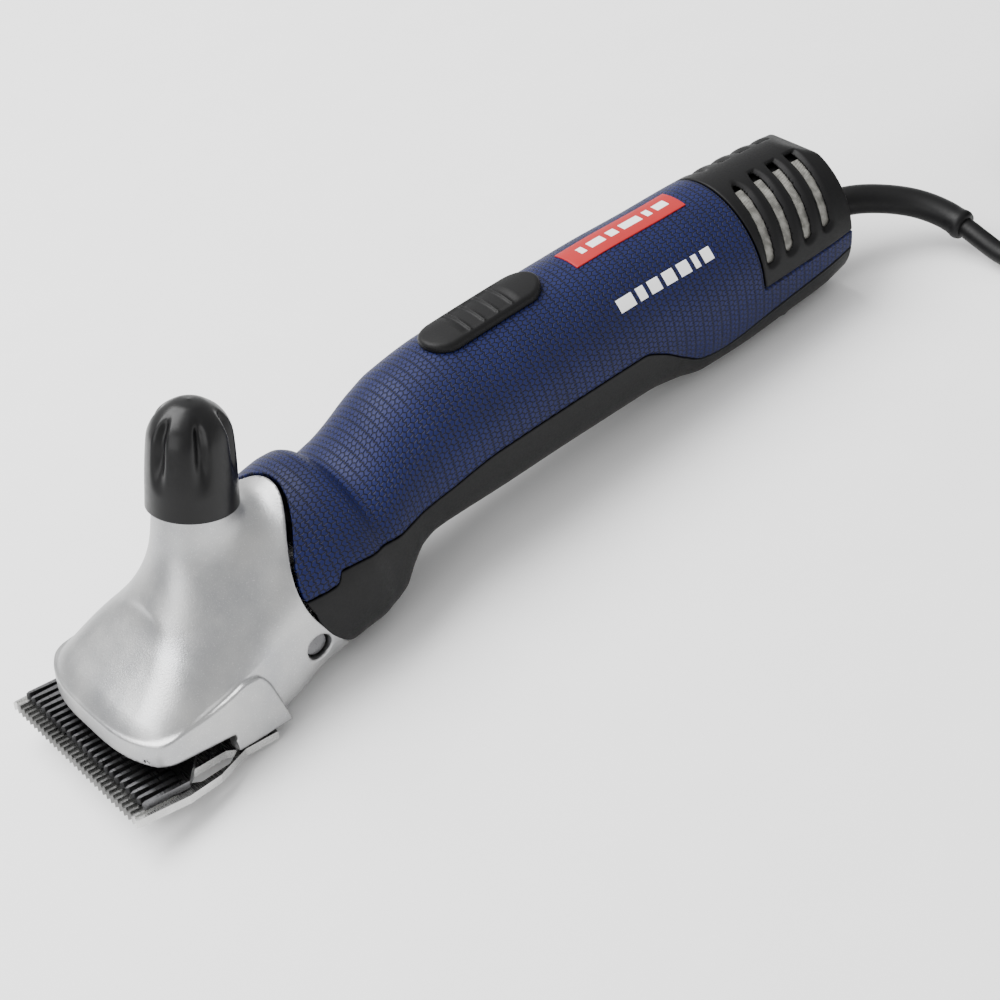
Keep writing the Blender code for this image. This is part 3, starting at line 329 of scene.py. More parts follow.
class Shade:
    """One Principled material and short ways to add texture nodes to it."""

    def __init__(self, name, colour, roughness, metallic=0.0, specular=0.5):
        self.material = bpy.data.materials.new(name)
        self.material.use_nodes = True
        self.tree = self.material.node_tree
        self.shader = self.tree.nodes["Principled BSDF"]
        self.shader.inputs["Base Color"].default_value = (*colour, 1.0)
        self.shader.inputs["Roughness"].default_value = roughness
        self.shader.inputs["Metallic"].default_value = metallic
        self.shader.inputs["Specular IOR Level"].default_value = specular
        self.colour = colour
        self.place = self.node("ShaderNodeTexCoord").outputs["Object"]

    def node(self, kind, **values):
        made = self.tree.nodes.new(kind)
        for key, value in values.items():
            setattr(made, key, value)
        return made

    def link(self, source, target):
        if isinstance(source, (int, float)):
            target.default_value = source
        elif isinstance(source, tuple):
            target.default_value = source
        else:
            self.tree.links.new(source, target)

    def math(self, operation, a, b=0.0, c=0.0):
        made = self.node("ShaderNodeMath", operation=operation)
        for source, target in zip((a, b, c), made.inputs):
            self.link(source, target)
        return made.outputs[0]

    def noise(self, scale, detail=2.0, roughness=0.5, place=None):
        made = self.node("ShaderNodeTexNoise")
        made.inputs["Scale"].default_value = scale
        made.inputs["Detail"].default_value = detail
        made.inputs["Roughness"].default_value = roughness
        self.link(place or self.place, made.inputs["Vector"])
        return made.outputs["Fac"]

    def range(self, value, a, b, low, high):
        made = self.node("ShaderNodeMapRange")
        for source, target in zip((value, a, b, low, high), made.inputs):
            self.link(source, target)
        return made.outputs[0]

    def mix(self, factor, a, b):
        made = self.node("ShaderNodeMix", data_type="RGBA")
        self.link(factor, made.inputs["Factor"])
        for value, target in ((a, made.inputs[6]), (b, made.inputs[7])):
            self.link((*value, 1.0) if isinstance(value, tuple) and len(value) == 3 else value, target)
        return made.outputs[2]

    def bump(self, height, distance, strength=1.0):
        made = self.node("ShaderNodeBump")
        made.inputs["Strength"].default_value = strength
        made.inputs["Distance"].default_value = distance
        self.link(height, made.inputs["Height"])
        self.link(made.outputs[0], self.shader.inputs["Normal"])

    def paint(self, colour=None, roughness=None):
        if colour is not None:
            self.link(colour, self.shader.inputs["Base Color"])
        if roughness is not None:
            self.link(roughness, self.shader.inputs["Roughness"])
        return self.material


def tuned(colour, factor):
    """A colour made lighter or darker, no channel over 1."""
    return tuple(min(1.0, c * factor) for c in colour)


def plain(name, colour, roughness, metallic=0.0, grain=900.0, depth=0.00003, specular=0.5, worn=0.12):
    """A finish with fine grain, a slow drift of its colour and uneven gloss."""
    s = Shade(name, colour, roughness, metallic, specular)
    drift = s.noise(38.0, 3.0)
    fine = s.noise(grain, 3.0, 0.6)
    shade = s.mix(s.range(drift, 0.3, 0.7, 0.0, 1.0), tuned(colour, 1 - worn), tuned(colour, 1 + worn))
    s.bump(fine, depth)
    return s.paint(shade, s.range(fine, 0.25, 0.75, roughness * 0.85, min(1.0, roughness * 1.15)))


def cast_aluminium():
    """Blasted casting: fine sparkle painted as light points in its tone, soft clouds of tone."""
    s = Shade("cast_aluminium", (0.42, 0.425, 0.43), 0.38, 1.0)
    clouds = s.noise(55.0, 4.0, 0.6)
    fine = s.noise(1500.0, 2.0, 0.7)
    glint_specks = s.noise(2600.0, 1.0, 0.5)
    tone = s.mix(s.range(clouds, 0.3, 0.7, 0.0, 1.0), (0.33, 0.335, 0.345), (0.44, 0.44, 0.435))
    # painted glints: sparse points lifted towards light grey
    tone = s.mix(s.range(glint_specks, 0.6, 0.78, 0.0, 0.5), tone, (0.68, 0.68, 0.68))
    s.bump(fine, 0.00006)
    return s.paint(tone, s.range(clouds, 0.3, 0.7, 0.34, 0.44))


def ground_steel(name, colour, roughness, teeth_shade):
    """Ground steel: brushed along the width, slightly stained, with painted shade among the teeth: there its tone
    is scaled by the last argument.
    """
    s = Shade(name, colour, roughness, 1.0)
    stretch = s.node("ShaderNodeMapping")
    stretch.inputs["Scale"].default_value = (1.0, 0.06, 1.0)
    s.link(s.place, stretch.inputs["Vector"])
    lines = s.noise(2500.0, 3.0, 0.6, stretch.outputs[0])
    stain = s.noise(90.0, 3.0)
    tone = s.mix(s.range(stain, 0.35, 0.7, 0.0, 1.0), tuned(colour, 0.8), tuned(colour, 1.15))
    split = s.node("ShaderNodeSeparateXYZ")
    s.link(s.place, split.inputs[0])
    # painted shade: the tone among the teeth is scaled down, while behind the teeth and on the outer rail it
    # stays unshaded
    behind = s.range(split.outputs[0], -0.1375, -0.1335, 0.0, 1.0)
    outer = s.range(s.math("ABSOLUTE", split.outputs[1]), 0.0355, 0.0365, 0.0, 1.0)
    unshaded = s.math("MAXIMUM", behind, outer)
    tone = s.mix(unshaded, s.mix(teeth_shade, (0.0, 0.0, 0.0), tone), tone)
    s.bump(lines, 0.00003)
    return s.paint(tone, s.range(lines, 0.3, 0.7, roughness * 0.8, roughness * 1.25))


KNIT_ROW = 1.9
KNIT_STITCH = 1.0
KNIT_BEND = 0.42


def knit_group():
    """Interlocking chevrons from a flow map in millimetres: Mask is 0 in the gaps, which are painted dark as
    shade, and 1 on the scales.

    Rows cross the flow's first coordinate and zigzag by KNIT_BEND of a row along the second. Each row is
    parted into stitches that start half a period later in the next row.
    """
    group = bpy.data.node_groups.new("chevron_knit", "ShaderNodeTree")
    group.interface.new_socket("Flow", in_out="INPUT", socket_type="NodeSocketVector")
    group.interface.new_socket("Mask", in_out="OUTPUT", socket_type="NodeSocketFloat")
    nodes, links = group.nodes, group.links
    start = nodes.new("NodeGroupInput")
    end = nodes.new("NodeGroupOutput")
    split = nodes.new("ShaderNodeSeparateXYZ")
    links.new(start.outputs[0], split.inputs[0])

    def op(operation, a, b=0.0, c=0.0):
        made = nodes.new("ShaderNodeMath")
        made.operation = operation
        for value, target in zip((a, b, c), made.inputs):
            if isinstance(value, (int, float)):
                target.default_value = value
            else:
                links.new(value, target)
        return made.outputs[0]

    row = op("DIVIDE", split.outputs[0], KNIT_ROW)
    wave = op("PINGPONG", split.outputs[1], KNIT_STITCH)
    bent = op("ADD", row, op("MULTIPLY", wave, KNIT_BEND))
    line = op("PINGPONG", bent, 0.5)
    gap_long = op("SMOOTH_MIN", op("MULTIPLY", line, 2.0), 1.0, 0.1)
    gap_short = op("PINGPONG", op("ADD", split.outputs[1], op("FLOOR", bent)), KNIT_STITCH)
    near = op("MINIMUM", op("MULTIPLY", gap_long, 1.15), op("ADD", gap_short, 0.12))
    ramp = nodes.new("ShaderNodeMapRange")
    ramp.interpolation_type = "SMOOTHSTEP"
    links.new(near, ramp.inputs[0])
    for value, target in zip((0.10, 0.42, 0.0, 1.0), list(ramp.inputs)[1:5]):
        target.default_value = value
    links.new(ramp.outputs[0], end.inputs[0])
    return group


def blue_rubber():
    """Moulded grip with rows of small scales; the flow map keeps the rows square to the tool."""
    s = Shade("blue_rubber", (0.0055, 0.009, 0.056), 0.55, 0.0, 0.2)
    uv = s.node("ShaderNodeUVMap", uv_map="flow")
    knit = s.node("ShaderNodeGroup")
    knit.node_tree = knit_group()
    s.link(uv.outputs[0], knit.inputs[0])
    mask = knit.outputs[0]
    drift = s.noise(45.0, 3.0)
    fine = s.noise(1800.0, 2.0)
    top = s.mix(s.range(drift, 0.3, 0.7, 0.0, 1.0), (0.0048, 0.0078, 0.050), (0.0066, 0.0105, 0.066))
    s.bump(s.math("MULTIPLY_ADD", fine, 0.12, mask), 0.00022, 0.9)
    # painted shade: the gaps among the scales are coloured near black
    return s.paint(s.mix(mask, (0.0008, 0.0012, 0.006), top), s.range(fine, 0.25, 0.75, 0.46, 0.6))


def filter_mesh():
    """Woven dust filter: two crossing sets of fine threads, the low cells of the weave painted dark as shade."""
    s = Shade("filter_mesh", (0.42, 0.41, 0.37), 0.8, 0.0, 0.2)
    split = s.node("ShaderNodeSeparateXYZ")
    s.link(s.place, split.inputs[0])
    a = s.math("SINE", s.math("MULTIPLY", s.math("ADD", split.outputs[0], split.outputs[2]), 7000.0))
    b = s.math("SINE", s.math("MULTIPLY", s.math("SUBTRACT", split.outputs[0], split.outputs[2]), 7000.0))
    weave = s.range(s.math("MULTIPLY", a, b), -1.0, 1.0, 0.0, 1.0)
    blotch = s.noise(400.0, 3.0)
    tone = s.mix(s.range(blotch, 0.35, 0.65, 0.0, 1.0), (0.15, 0.147, 0.135), (0.30, 0.295, 0.27))
    s.bump(weave, 0.00012)
    # painted shade: the low cells of the weave are mixed towards dark grey
    return s.paint(s.mix(s.range(weave, 0.0, 0.5, 0.6, 0.0), tone, (0.08, 0.08, 0.075)))


ALUMINIUM = cast_aluminium()
# the comb's teeth get painted shade: their tone scaled to 0.3
STEEL = ground_steel("ground_steel", (0.55, 0.55, 0.54), 0.27, 0.3)
DARK_STEEL = ground_steel("dark_steel", (0.15, 0.15, 0.155), 0.3, 1.0)
BLUE = blue_rubber()
BLACK = plain("black_plastic", (0.003, 0.003, 0.0033), 0.5, grain=1400.0, depth=0.00003, specular=0.18)
SATIN = plain("satin_black", (0.0025, 0.0025, 0.0028), 0.33, grain=600.0, depth=0.00001, specular=0.25)
RUBBER = plain("black_rubber", (0.003, 0.003, 0.0033), 0.45, grain=900.0, depth=0.00002, specular=0.18)
COPPER = plain("copper", (0.72, 0.33, 0.16), 0.35, 1.0)
BRASS = plain("brass", (0.78, 0.6, 0.28), 0.3, 1.0, grain=700.0, depth=0.00001)
LAMINATED = plain("laminated_steel", (0.35, 0.36, 0.38), 0.5, 1.0)
CARBON = plain("carbon", (0.03, 0.03, 0.03), 0.7)
FILTER = filter_mesh()
RED = plain("red_label", (0.36, 0.002, 0.004), 0.42, grain=500.0, depth=0.000005, worn=0.03)
WHITE = plain("white_print", (0.85, 0.85, 0.85), 0.5, grain=500.0, depth=0.000005, worn=0.02)
SLOT_FINISH = {
    "cast_aluminium": ALUMINIUM, "tool_steel": STEEL, "dark_steel": DARK_STEEL, "blue_rubber": BLUE,
    "black_plastic": BLACK, "black_rubber": RUBBER, "copper": COPPER, "brass": BRASS,
    "laminated_steel": LAMINATED, "carbon": CARBON, "filter_mesh": FILTER, "red_label": RED,
    "white_plastic": WHITE,
}
for entry in frame["record"]["subparts"]:
    node = frame["nodes"][entry["node"]]
    node.data.materials.clear()
    node.data.materials.append(SLOT_FINISH[entry["material_slot"]])

# ---------------------------------------------------------------- camera, floor and light


CAMERA_PLACE = (-0.27083, -0.55348, 0.49758)
CAMERA_TURN = (49.672, 14.229, -38.551)
# name, place, aim, size, power
LIGHTS = (
    ("overhead", (-0.3, 0.5, 1.25), (0.0, 0.0, 0.02), (1.4, 1.0), 46.0),
    ("left_fill", (-1.2, -0.3, 0.7), (0.0, 0.0, 0.03), (0.8, 0.8), 7.0),
)


def studio():
    """Camera, pale floor, white surroundings and two soft lights."""
    camera = bpy.data.objects.new("camera", bpy.data.cameras.new("camera"))
    camera.location = CAMERA_PLACE
    camera.rotation_euler = [math.radians(a) for a in CAMERA_TURN]
    camera.data.lens = 86.4
    camera.data.clip_end = 20.0
    bpy.context.scene.collection.objects.link(camera)
    bpy.context.scene.camera = camera
    mesh = bpy.data.meshes.new("floor")
    mesh.from_pydata([(-6, -6, 0), (6, -6, 0), (6, 6, 0), (-6, 6, 0)], [], [(0, 1, 2, 3)])
    floor = bpy.data.objects.new("floor", mesh)
    floor.location.z = -0.0002
    bpy.context.scene.collection.objects.link(floor)
    mesh.materials.append(plain("floor", (0.9, 0.9, 0.9), 0.9, grain=60.0, depth=0.0, specular=0.1, worn=0.01))
    world_shade = bpy.data.worlds.new("studio")
    world_shade.use_nodes = True
    background = world_shade.node_tree.nodes["Background"]
    background.inputs["Color"].default_value = (1.0, 1.0, 1.0, 1.0)
    background.inputs["Strength"].default_value = 0.95
    bpy.context.scene.world = world_shade
    for name, place, aim, size, power in LIGHTS:
        data = bpy.data.lights.new(name, "AREA")
        data.shape = "RECTANGLE"
        data.size, data.size_y = size
        data.energy = power
        light = bpy.data.objects.new(name, data)
        light.location = place
        gaze = np.array(aim, float) - np.array(place, float)
        flat = math.hypot(gaze[0], gaze[1])
        light.rotation_euler = (math.atan2(flat, -gaze[2]), 0.0, math.atan2(gaze[1], gaze[0]) - math.pi / 2)
        bpy.context.scene.collection.objects.link(light)


studio()

# ---------------------------------------------------------------- shells


def flow_map(p):
    """Distance along x and around the section, in millimetres, the second from the middle line."""
    around = np.linalg.norm(np.diff(p[..., 1:], axis=1), axis=-1)
    around = np.concatenate([np.zeros((p.shape[0], 1)), np.cumsum(around, 1)], 1)
    around -= around[:, [p.shape[1] // 2]]
    along = np.linalg.norm(np.diff(p[:, p.shape[1] // 2], axis=0), axis=-1)
    along = np.concatenate([[0.0], np.cumsum(along)])
    lead = p[..., 0] - p[:, [p.shape[1] // 2], 0]
    return np.stack([along[:, None] + lead, around], -1)


def shell_rows(angles_at, count, cuts=()):
    """x of every grid point: rows bow like the mouth in front and straighten by x = 104."""
    base = np.linspace(0.0, 1.0, count)
    x0 = 84.0 + base * (REAR - 84.0)
    x0 = np.unique(np.concatenate([x0, *cuts]))
    rows = []
    for x in x0:
        a = angles_at(np.array([max(x, 84.0)]))[0]
        bow = mouth(a)
        t = (x - 84.0) / (108.0 - 84.0)
        rows.append(np.where(x < 108.0, bow + (108.0 - bow) * t, x))
    return x0, np.array(rows)


ALL_SIDES = ("left", "right", "front", "rear")
EDGE_ROUND = 0.45
EDGE_DEPTH = 2.0
# share of the shell's width, out from the middle line, that lies under the rear cap
UNDER_CAP = 0.8
LINER_DEPTH = 3.0


def grip_skin():
    """Blue shell from seam to seam over the top, sunk under the rear cap where a black liner covers it."""
    v = np.linspace(-1.0, 1.0, 241)

    def angles(x):
        seam = angle_at(x, curve(SEAM, x)[..., 0] + 0.25)
        edge = np.minimum(angle_at(x, CAP_EDGE - 0.15 + 0 * x), seam - 0.05)
        out = np.abs(v)[None, :]
        low, high = out / UNDER_CAP, (out - UNDER_CAP) / (1 - UNDER_CAP)
        a = np.where(np.abs(v) < UNDER_CAP, edge[:, None] * low, edge[:, None] + (seam - edge)[:, None] * high)
        return np.sign(v) * a

    step_rows = np.array([CAP_FRONT - 0.7, CAP_FRONT - 0.5, CAP_FRONT - 0.3, CAP_FRONT - 0.1])
    base, x = shell_rows(angles, 300, (step_rows,))
    a = np.array([angles(np.array([row.mean()]))[0] if row.std() < 0.01 else np.zeros(len(v)) for row in x])
    for i, row in enumerate(x):
        if row.std() >= 0.01:
            a[i] = np.array([angles(np.array([xx]))[0][j] for j, xx in enumerate(row)])
    under = np.abs(v) <= UNDER_CAP
    capped = smoothstep(CAP_FRONT - 0.55, CAP_FRONT - 0.25, x) * under[None, :]
    lined = section(x, a, LINER_DEPTH * capped)[base > CAP_FRONT - 0.15][:, under]
    grid("cap_liner", lined, "housing", BLACK, flip=True)
    sunk = section(x, a, (LINER_DEPTH + 0.3) * capped)
    p, flow = with_rims(sunk, flow_map(section(x, a)), EDGE_ROUND, EDGE_DEPTH, ALL_SIDES)
    obj = grid("grip_skin", p, "housing", BLUE, uv=flow, flip=True)
    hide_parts("grip_housing")
    return obj


def belly_skin():
    """Black shell under the seam."""
    v = np.linspace(0.0, 1.0, 161)

    def angles(x):
        seam = angle_at(x, curve(SEAM, x)[..., 0] - 0.25)
        return seam[:, None] + (2 * math.pi - 2 * seam)[:, None] * v[None, :]

    _, x = shell_rows(angles, 260)
    a = np.zeros_like(x)
    for i, row in enumerate(x):
        if row.std() < 0.01:
            a[i] = angles(row[:1])[0]
        else:
            a[i] = np.diagonal(angles(row))
    turned = np.where(a > math.pi, a - 2 * math.pi, a)
    p = section(x, turned)
    p, flow = with_rims(p, flow_map(p), EDGE_ROUND, EDGE_DEPTH, ALL_SIDES)
    obj = grid("belly_skin", p, "housing", BLACK, uv=flow, flip=True)
    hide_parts("under_cover")
    return obj


grip_skin()
belly_skin()

# ---------------------------------------------------------------- cast head

# x, half width of the dome's foot, height of its foot, top along the middle
DOME = np.array([
    (7.0, 20.0, 14.5, 14.0), (9.0, 25.0, 14.8, 15.6), (12.0, 30.2, 15.3, 17.4),
    (15.0, 32.2, 15.6, 19.2), (20.0, 33.2, 16.0, 22.2), (26.0, 33.2, 16.4, 26.0),
    (38.0, 32.4, 17.4, 34.2), (53.0, 31.2, 18.6, 41.6), (66.0, 30.9, 21.0, 47.0),
    (76.0, 31.0, 23.5, 50.3), (92.0, 31.2, 24.6, 53.4), (104.0, 31.0, 25.0, 54.0),
])
# x, top of the skirt band, in the comb's frame
SKIRT_TOP = np.array([
    (4.0, 15.6), (12.0, 16.6), (20.0, 18.2), (32.0, 20.4), (40.0, 22.6), (46.0, 24.3),
    (50.0, 24.0), (53.5, 20.5), (56.5, 13.0), (60.0, 3.0), (62.0, -2.0),
])
# x, half width of the skirt
SKIRT_WIDE = np.array([
    (7.4, 0.0), (8.0, 17.0), (9.5, 24.5), (12.0, 30.0), (15.0, 33.0), (20.0, 34.0), (37.0, 34.0),
    (48.0, 33.2), (56.0, 32.3), (64.0, 31.5),
])


def boss_distance(p):
    """Cone about the tension screw's axis, wider towards its foot."""
    q = turn(p - RIM, -LEAN)
    radius = 12.2 + 0.08 * np.maximum(-q[..., 2], 0.0)
    side = np.hypot(q[..., 0], q[..., 1]) - radius
    return both(side, np.maximum(q[..., 2] - 11.0, -26.0 - q[..., 2]), 1.0)


def dome_distance(p):
    """Sloping deck between two falling flanks in front, the round tube behind."""
    x, y, z = np.abs(p[..., 0]), np.abs(p[..., 1]), p[..., 2]
    row = curve(DOME, p[..., 0])
    foot, low, top = row[..., 0], row[..., 1], row[..., 2]
    deck = (z - top + 0.0035 * y * y) * 0.83
    lean = 0.78
    swell = 0.9 * np.sin(np.clip((z - low) / 16.0, 0, 1) * math.pi)
    flank = (y - foot + lean * (z - low) - swell) / math.hypot(1.0, lean)
    front = both(deck, flank, 9.0)
    below = np.where(z < low, y - foot, -50.0)
    front = np.maximum(front, below)
    tube = body_distance(p, TUBE)
    t = smoothstep(40.0, 72.0, x)
    return front * (1 - t) + tube * t


TUBE = np.array([
    (0.0, 14.5, 33.0, 17.0, 5.0, 6.0), (37.5, 16.5, 33.0, 34.2, -3.2, 6.0),
    (53.0, 18.0, 31.6, 41.6, -4.8, 6.0), (66.0, 21.0, 31.0, 47.2, -5.6, 5.0),
    (76.0, 23.5, 31.0, 50.3, -5.4, 3.4), (84.0, 24.0, 31.2, 51.4, -5.2, 2.9),
    (92.0, 24.6, 31.2, 53.4, -5.0, 2.8), (104.0, 25.0, 31.0, 54.0, -4.7, 2.7),
])


def skirt_distance(c):
    """Upright band round the front and sides, in the comb's frame."""
    wide = curve(SKIRT_WIDE, c[..., 0])[..., 0]
    top = curve(SKIRT_TOP, c[..., 0])[..., 0]
    x = c[..., 0]
    side = np.abs(c[..., 1]) - wide
    nose = 7.6 + 5.4 * (np.abs(c[..., 1]) / 31.5) ** 3.2 - x
    plan = both(side, nose, 4.0)
    return both(plan, (c[..., 2] - top) * 0.9, 0.9)


COMB_SEAT = 2.6
COMB_SEAT_FRONT = 39.0
NOSE_UNDERSIDE = 9.0
WALL = 3.4
SIDE_HOLE = (76.0, 11.5)
SIDE_HOLE_RADIUS = 4.5
BORE_RADIUS = 6.4


def head_distance(p):
    """Dome, skirt and boss joined by fillets, less the comb's seat, the hollow, the tube and the holes."""
    c = turn(p, -TILT)
    d = dome_distance(p)
    nose = 8.0 + 5.4 * (np.abs(p[..., 1]) / 31.5) ** 3.2 - c[..., 0] + 0.5 * np.maximum(c[..., 2] - 16.0, 0.0)
    d = both(d, nose, 2.5)
    d = union(d, skirt_distance(c), 0.6)
    d = union(d, boss_distance(p), 13.0)
    floor_line = np.where(c[..., 0] < COMB_SEAT_FRONT, NOSE_UNDERSIDE, COMB_SEAT)
    d = both(d, floor_line - c[..., 2], 0.7)
    angle = np.arctan2(p[..., 1], p[..., 2] - curve(BODY, p[..., 0])[..., 0])
    d = both(d, p[..., 0] - (mouth(angle) - 0.9), 0.6)
    hollow = np.maximum(np.abs(c[..., 1]) - 29.5, np.maximum(11.5 - c[..., 0], c[..., 0] - 57.0))
    hollow = both(hollow, dome_distance(p) + WALL, 2.0)
    d = cut(d, both(hollow, c[..., 2] - 19.0, 2.0), 0.6)
    tube = both(body_distance(p, TUBE) + 3.9, 54.0 - p[..., 0], 2.0)
    d = cut(d, tube, 0.6)
    q = turn(p - RIM, -LEAN)
    bore = np.maximum(np.hypot(q[..., 0], q[..., 1]) - BORE_RADIUS, -46.0 - q[..., 2])
    d = cut(d, bore, 0.4)
    hole = np.hypot(p[..., 0] - SIDE_HOLE[0], p[..., 2] - SIDE_HOLE[1]) - SIDE_HOLE_RADIUS
    hole = np.maximum(hole, 20.0 - np.abs(p[..., 1]))
    return cut(d, hole, 0.5)


def head_skin():
    """The cast head, open below for the cutter and behind for the crank."""
    obj = solid("head_skin", head_distance, (4.0, -36.0, -8.0), (96.0, 36.0, 74.0), 0.66, "housing", ALUMINIUM)
    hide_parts("head_casting")
    return obj


head_skin()

# ---------------------------------------------------------------- knob

KNOB = np.array([
    (0.0, 0.0, 14.2), (1.0, 4.0, 14.05), (2.0, 9.0, 13.9), (3.0, 14.0, 13.65), (4.0, 19.0, 13.3),
    (5.0, 23.5, 12.8), (6.0, 27.0, 11.6), (7.0, 29.9, 9.6), (8.0, 32.0, 7.0), (9.0, 33.5, 4.0),
    (10.0, 34.2, 0.01),
])


def knob_skin():
    """Turned cap: r = R(h) less six concave flutes that run out half way down."""
    t = np.linspace(0.0, 10.0, 121)
    turnings = np.linspace(0.0, 2 * math.pi, 145)[:-1]
    row = curve(KNOB, t)
    h, r = row[:, 0][:, None], row[:, 1][:, None]
    wave = np.maximum(np.cos(6 * (turnings - 0.25)), 0.0)[None, :] ** 2
    depth = 2.3 * smoothstep(7.0, 20.0, h) * (1 - smoothstep(27.0, 32.5, h))
    r = r - depth * wave
    lip = [(0.0, 13.9), (-0.25, 13.6), (-0.3, 13.2), (0.3, 12.9), (13.0, 12.5)]
    heights = [np.full((1, len(turnings)), a) for a, _ in lip[::-1]]
    radii = [np.full((1, len(turnings)), b) for _, b in lip[::-1]]
    h = np.concatenate(heights + [np.broadcast_to(h, r.shape)])
    r = np.concatenate(radii + [r])
    q = np.stack([r * np.cos(turnings), r * np.sin(turnings), h], -1)
    obj = grid("knob_skin", turn(q, LEAN) + RIM, "knob", SATIN, wrap=True)
    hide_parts("tension_knob")
    return obj


knob_skin()

# ---------------------------------------------------------------- rear cap


SLOT_MIDDLES = (276.0, 284.7, 293.3, 302.0)
SLOT_LOW = 41.5
SLOT_HIGH = 60.2
SLOT_INNER = 1.45
SLOT_OUTER = 3.25


def cap_distance(p):
    """Shell over the filters, thick at its tail: four leaning slots on each side that narrow inwards."""
    d = body_distance(p)
    shell = both(d, -(d + 1.7 + 6.0 * smoothstep(305.5, 308.5, p[..., 0])), 0.4)
    front = CAP_FRONT + 0.3 - p[..., 0]
    chamfer = (p[..., 0] - 305.5) * 0.45 + (p[..., 2] - 61.9) * 0.9
    shell = both(shell, front, 0.5)
    shell = both(shell, p[..., 0] - REAR, 0.6)
    shell = both(shell, CAP_EDGE + 0.15 - p[..., 2], 0.5)
    shell = both(shell, chamfer, 0.8)
    lean = p[..., 0] - 0.12 * (p[..., 2] - 50.0)
    wide = SLOT_INNER + (SLOT_OUTER - SLOT_INNER) * np.clip((d + 1.5) / 1.5, 0.0, 1.0)
    for middle in SLOT_MIDDLES:
        spot = np.clip(p[..., 2], SLOT_LOW, SLOT_HIGH)
        slot = np.hypot(lean - middle, p[..., 2] - spot) - wide
        slot = np.maximum(slot, 6.0 - np.abs(p[..., 1]))
        shell = cut(shell, slot, 0.5)
    return shell


def cap_skin():
    """The rear cap with its slots."""
    obj = solid("cap_skin", cap_distance, (268.0, -28.0, 30.0), (314.0, 28.0, 68.0), 0.5, "housing", BLACK)
    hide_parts("rear_cap")
    return obj


cap_skin()

# ---------------------------------------------------------------- switch, badge and print


def switch_distance(p):
    """Long oval button with four low ridges across it."""
    row = curve(BODY, p[..., 0])
    middle, half, top = row[..., 0], row[..., 1], row[..., 2]
    roof = middle + (top - middle) * np.sqrt(1 - np.clip(p[..., 1] / half, -0.9, 0.9) ** 2)
    rise = p[..., 2] - roof
    x = p[..., 0] - 176.0
    plan = np.hypot(np.maximum(np.abs(x) - 14.6, 0.0), p[..., 1]) - 8.4
    ridges = 0.0
    for k in range(4):
        ridges = ridges + 0.55 * np.exp(-(((x + 8.4 - 5.6 * k) / 0.5) ** 2))
    ridges = ridges * smoothstep(7.4, 6.4, np.abs(p[..., 1]))
    dish = 0.5 * smoothstep(12.0, 9.0, np.abs(x)) * smoothstep(7.5, 5.5, np.abs(p[..., 1]))
    return both(both(plan, rise - 2.9 - ridges + dish, 1.6), 0.3 - rise, 0.2)


def switch_skin():
    """The sliding button of the switch."""
    obj = solid("switch_skin", switch_distance, (151.0, -10.0, 60.0), (201.0, 10.0, 72.0), 0.3, "switch", BLACK)
    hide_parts("switch_slider")
    return obj


def on_body(x, arc, rise):
    """A point on the shell at an arc length from the middle line of the back."""
    row = curve(BODY, x)
    reach = 0.5 * (row[..., 1] + row[..., 2] - row[..., 0])
    return section(x, arc / reach, -rise)


DECAL_ROUND = 0.12


def decal(name, outline, material, rise, body="housing"):
    """A thin raised patch: outline(u, v) gives (x, arc) over the unit square."""
    u, v = np.meshgrid(np.linspace(0, 1, 41), np.linspace(0, 1, 15), indexing="ij")
    x, arc = outline(u, v)
    p = on_body(x, arc, rise)
    p, _ = with_rims(p, np.zeros((*p.shape[:2], 2)), DECAL_ROUND, rise, ALL_SIDES)
    return grid(name, p, body, material, flip=True)


def badge():
    """Plain red plate on the back of the grip."""
    obj = decal("badge_skin", lambda u, v: (211.5 + 46.5 * u, -5.9 + 11.8 * v), RED, 0.45)
    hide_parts("badge_plate")


def bars(name, start, pitch, widths, low, high, rise):
    """A row of plain bars, a generic mark."""
    x = start
    for k, width in enumerate(widths):
        def outline(u, v, x=x, width=width):
            return x + width * u, low + (high - low) * v
        obj = decal("%s_%d" % (name, k + 1), outline, WHITE, rise)
        x += width + pitch


switch_skin()
badge()
bars("badge_bar", 217.0, 2.0, (2.4, 6.0, 3.6, 8.0, 2.4, 5.0), -1.9, 1.9, 0.5)
bars("side_bar", 214.0, 1.7, (6.5, 3.2, 4.6, 4.6, 4.6, 2.2, 4.0), -27.0, -22.5, 0.12)

# ---------------------------------------------------------------- cord


def smooth_route(points, steps):
    """Cubic through points by arc length, with the same chord slopes at every joint."""
    points = np.asarray(points, float)
    length = np.concatenate([[0], np.cumsum(np.linalg.norm(np.diff(points, axis=0), axis=1))])
    slope = np.gradient(points, length, axis=0)
    s = np.linspace(0, length[-1], steps)
    i = np.clip(np.searchsorted(length, s) - 1, 0, len(points) - 2)
    h = (length[i + 1] - length[i])[:, None]
    t = ((s - length[i]) / h[:, 0])[:, None]
    a = points[i] * (2 * t**3 - 3 * t**2 + 1) + points[i + 1] * (3 * t**2 - 2 * t**3)
    return a + h * (slope[i] * (t**3 - 2 * t**2 + t) + slope[i + 1] * (t**3 - t**2))


RELIEF = [
    (148.3, 0.0, 22.6), (155.0, 0.0, 22.15), (163.0, -1.6, 21.5), (172.0, -6.0, 20.8),
    (180.6, -13.0, 18.6), (187.6, -22.5, 15.6), (190.6, -32.0, 12.8), (191.0, -40.0, 10.5),
]
LEAD = [
    (190.6, -48.0, 8.2), (190.4, -56.0, 5.9), (191.6, -66.0, 4.2), (196.5, -79.0, 3.6),
    (205.5, -90.0, 3.55), (217.5, -98.0, 3.55), (230.0, -102.0, 3.55), (242.9, -103.0, 3.55),
]
COIL = np.array([276.0, -54.0])
CORD = 7.0
PLUG_START = np.array([-28.5, -22.3, 41.5])
PLUG_HEADING = math.radians(-18.0)


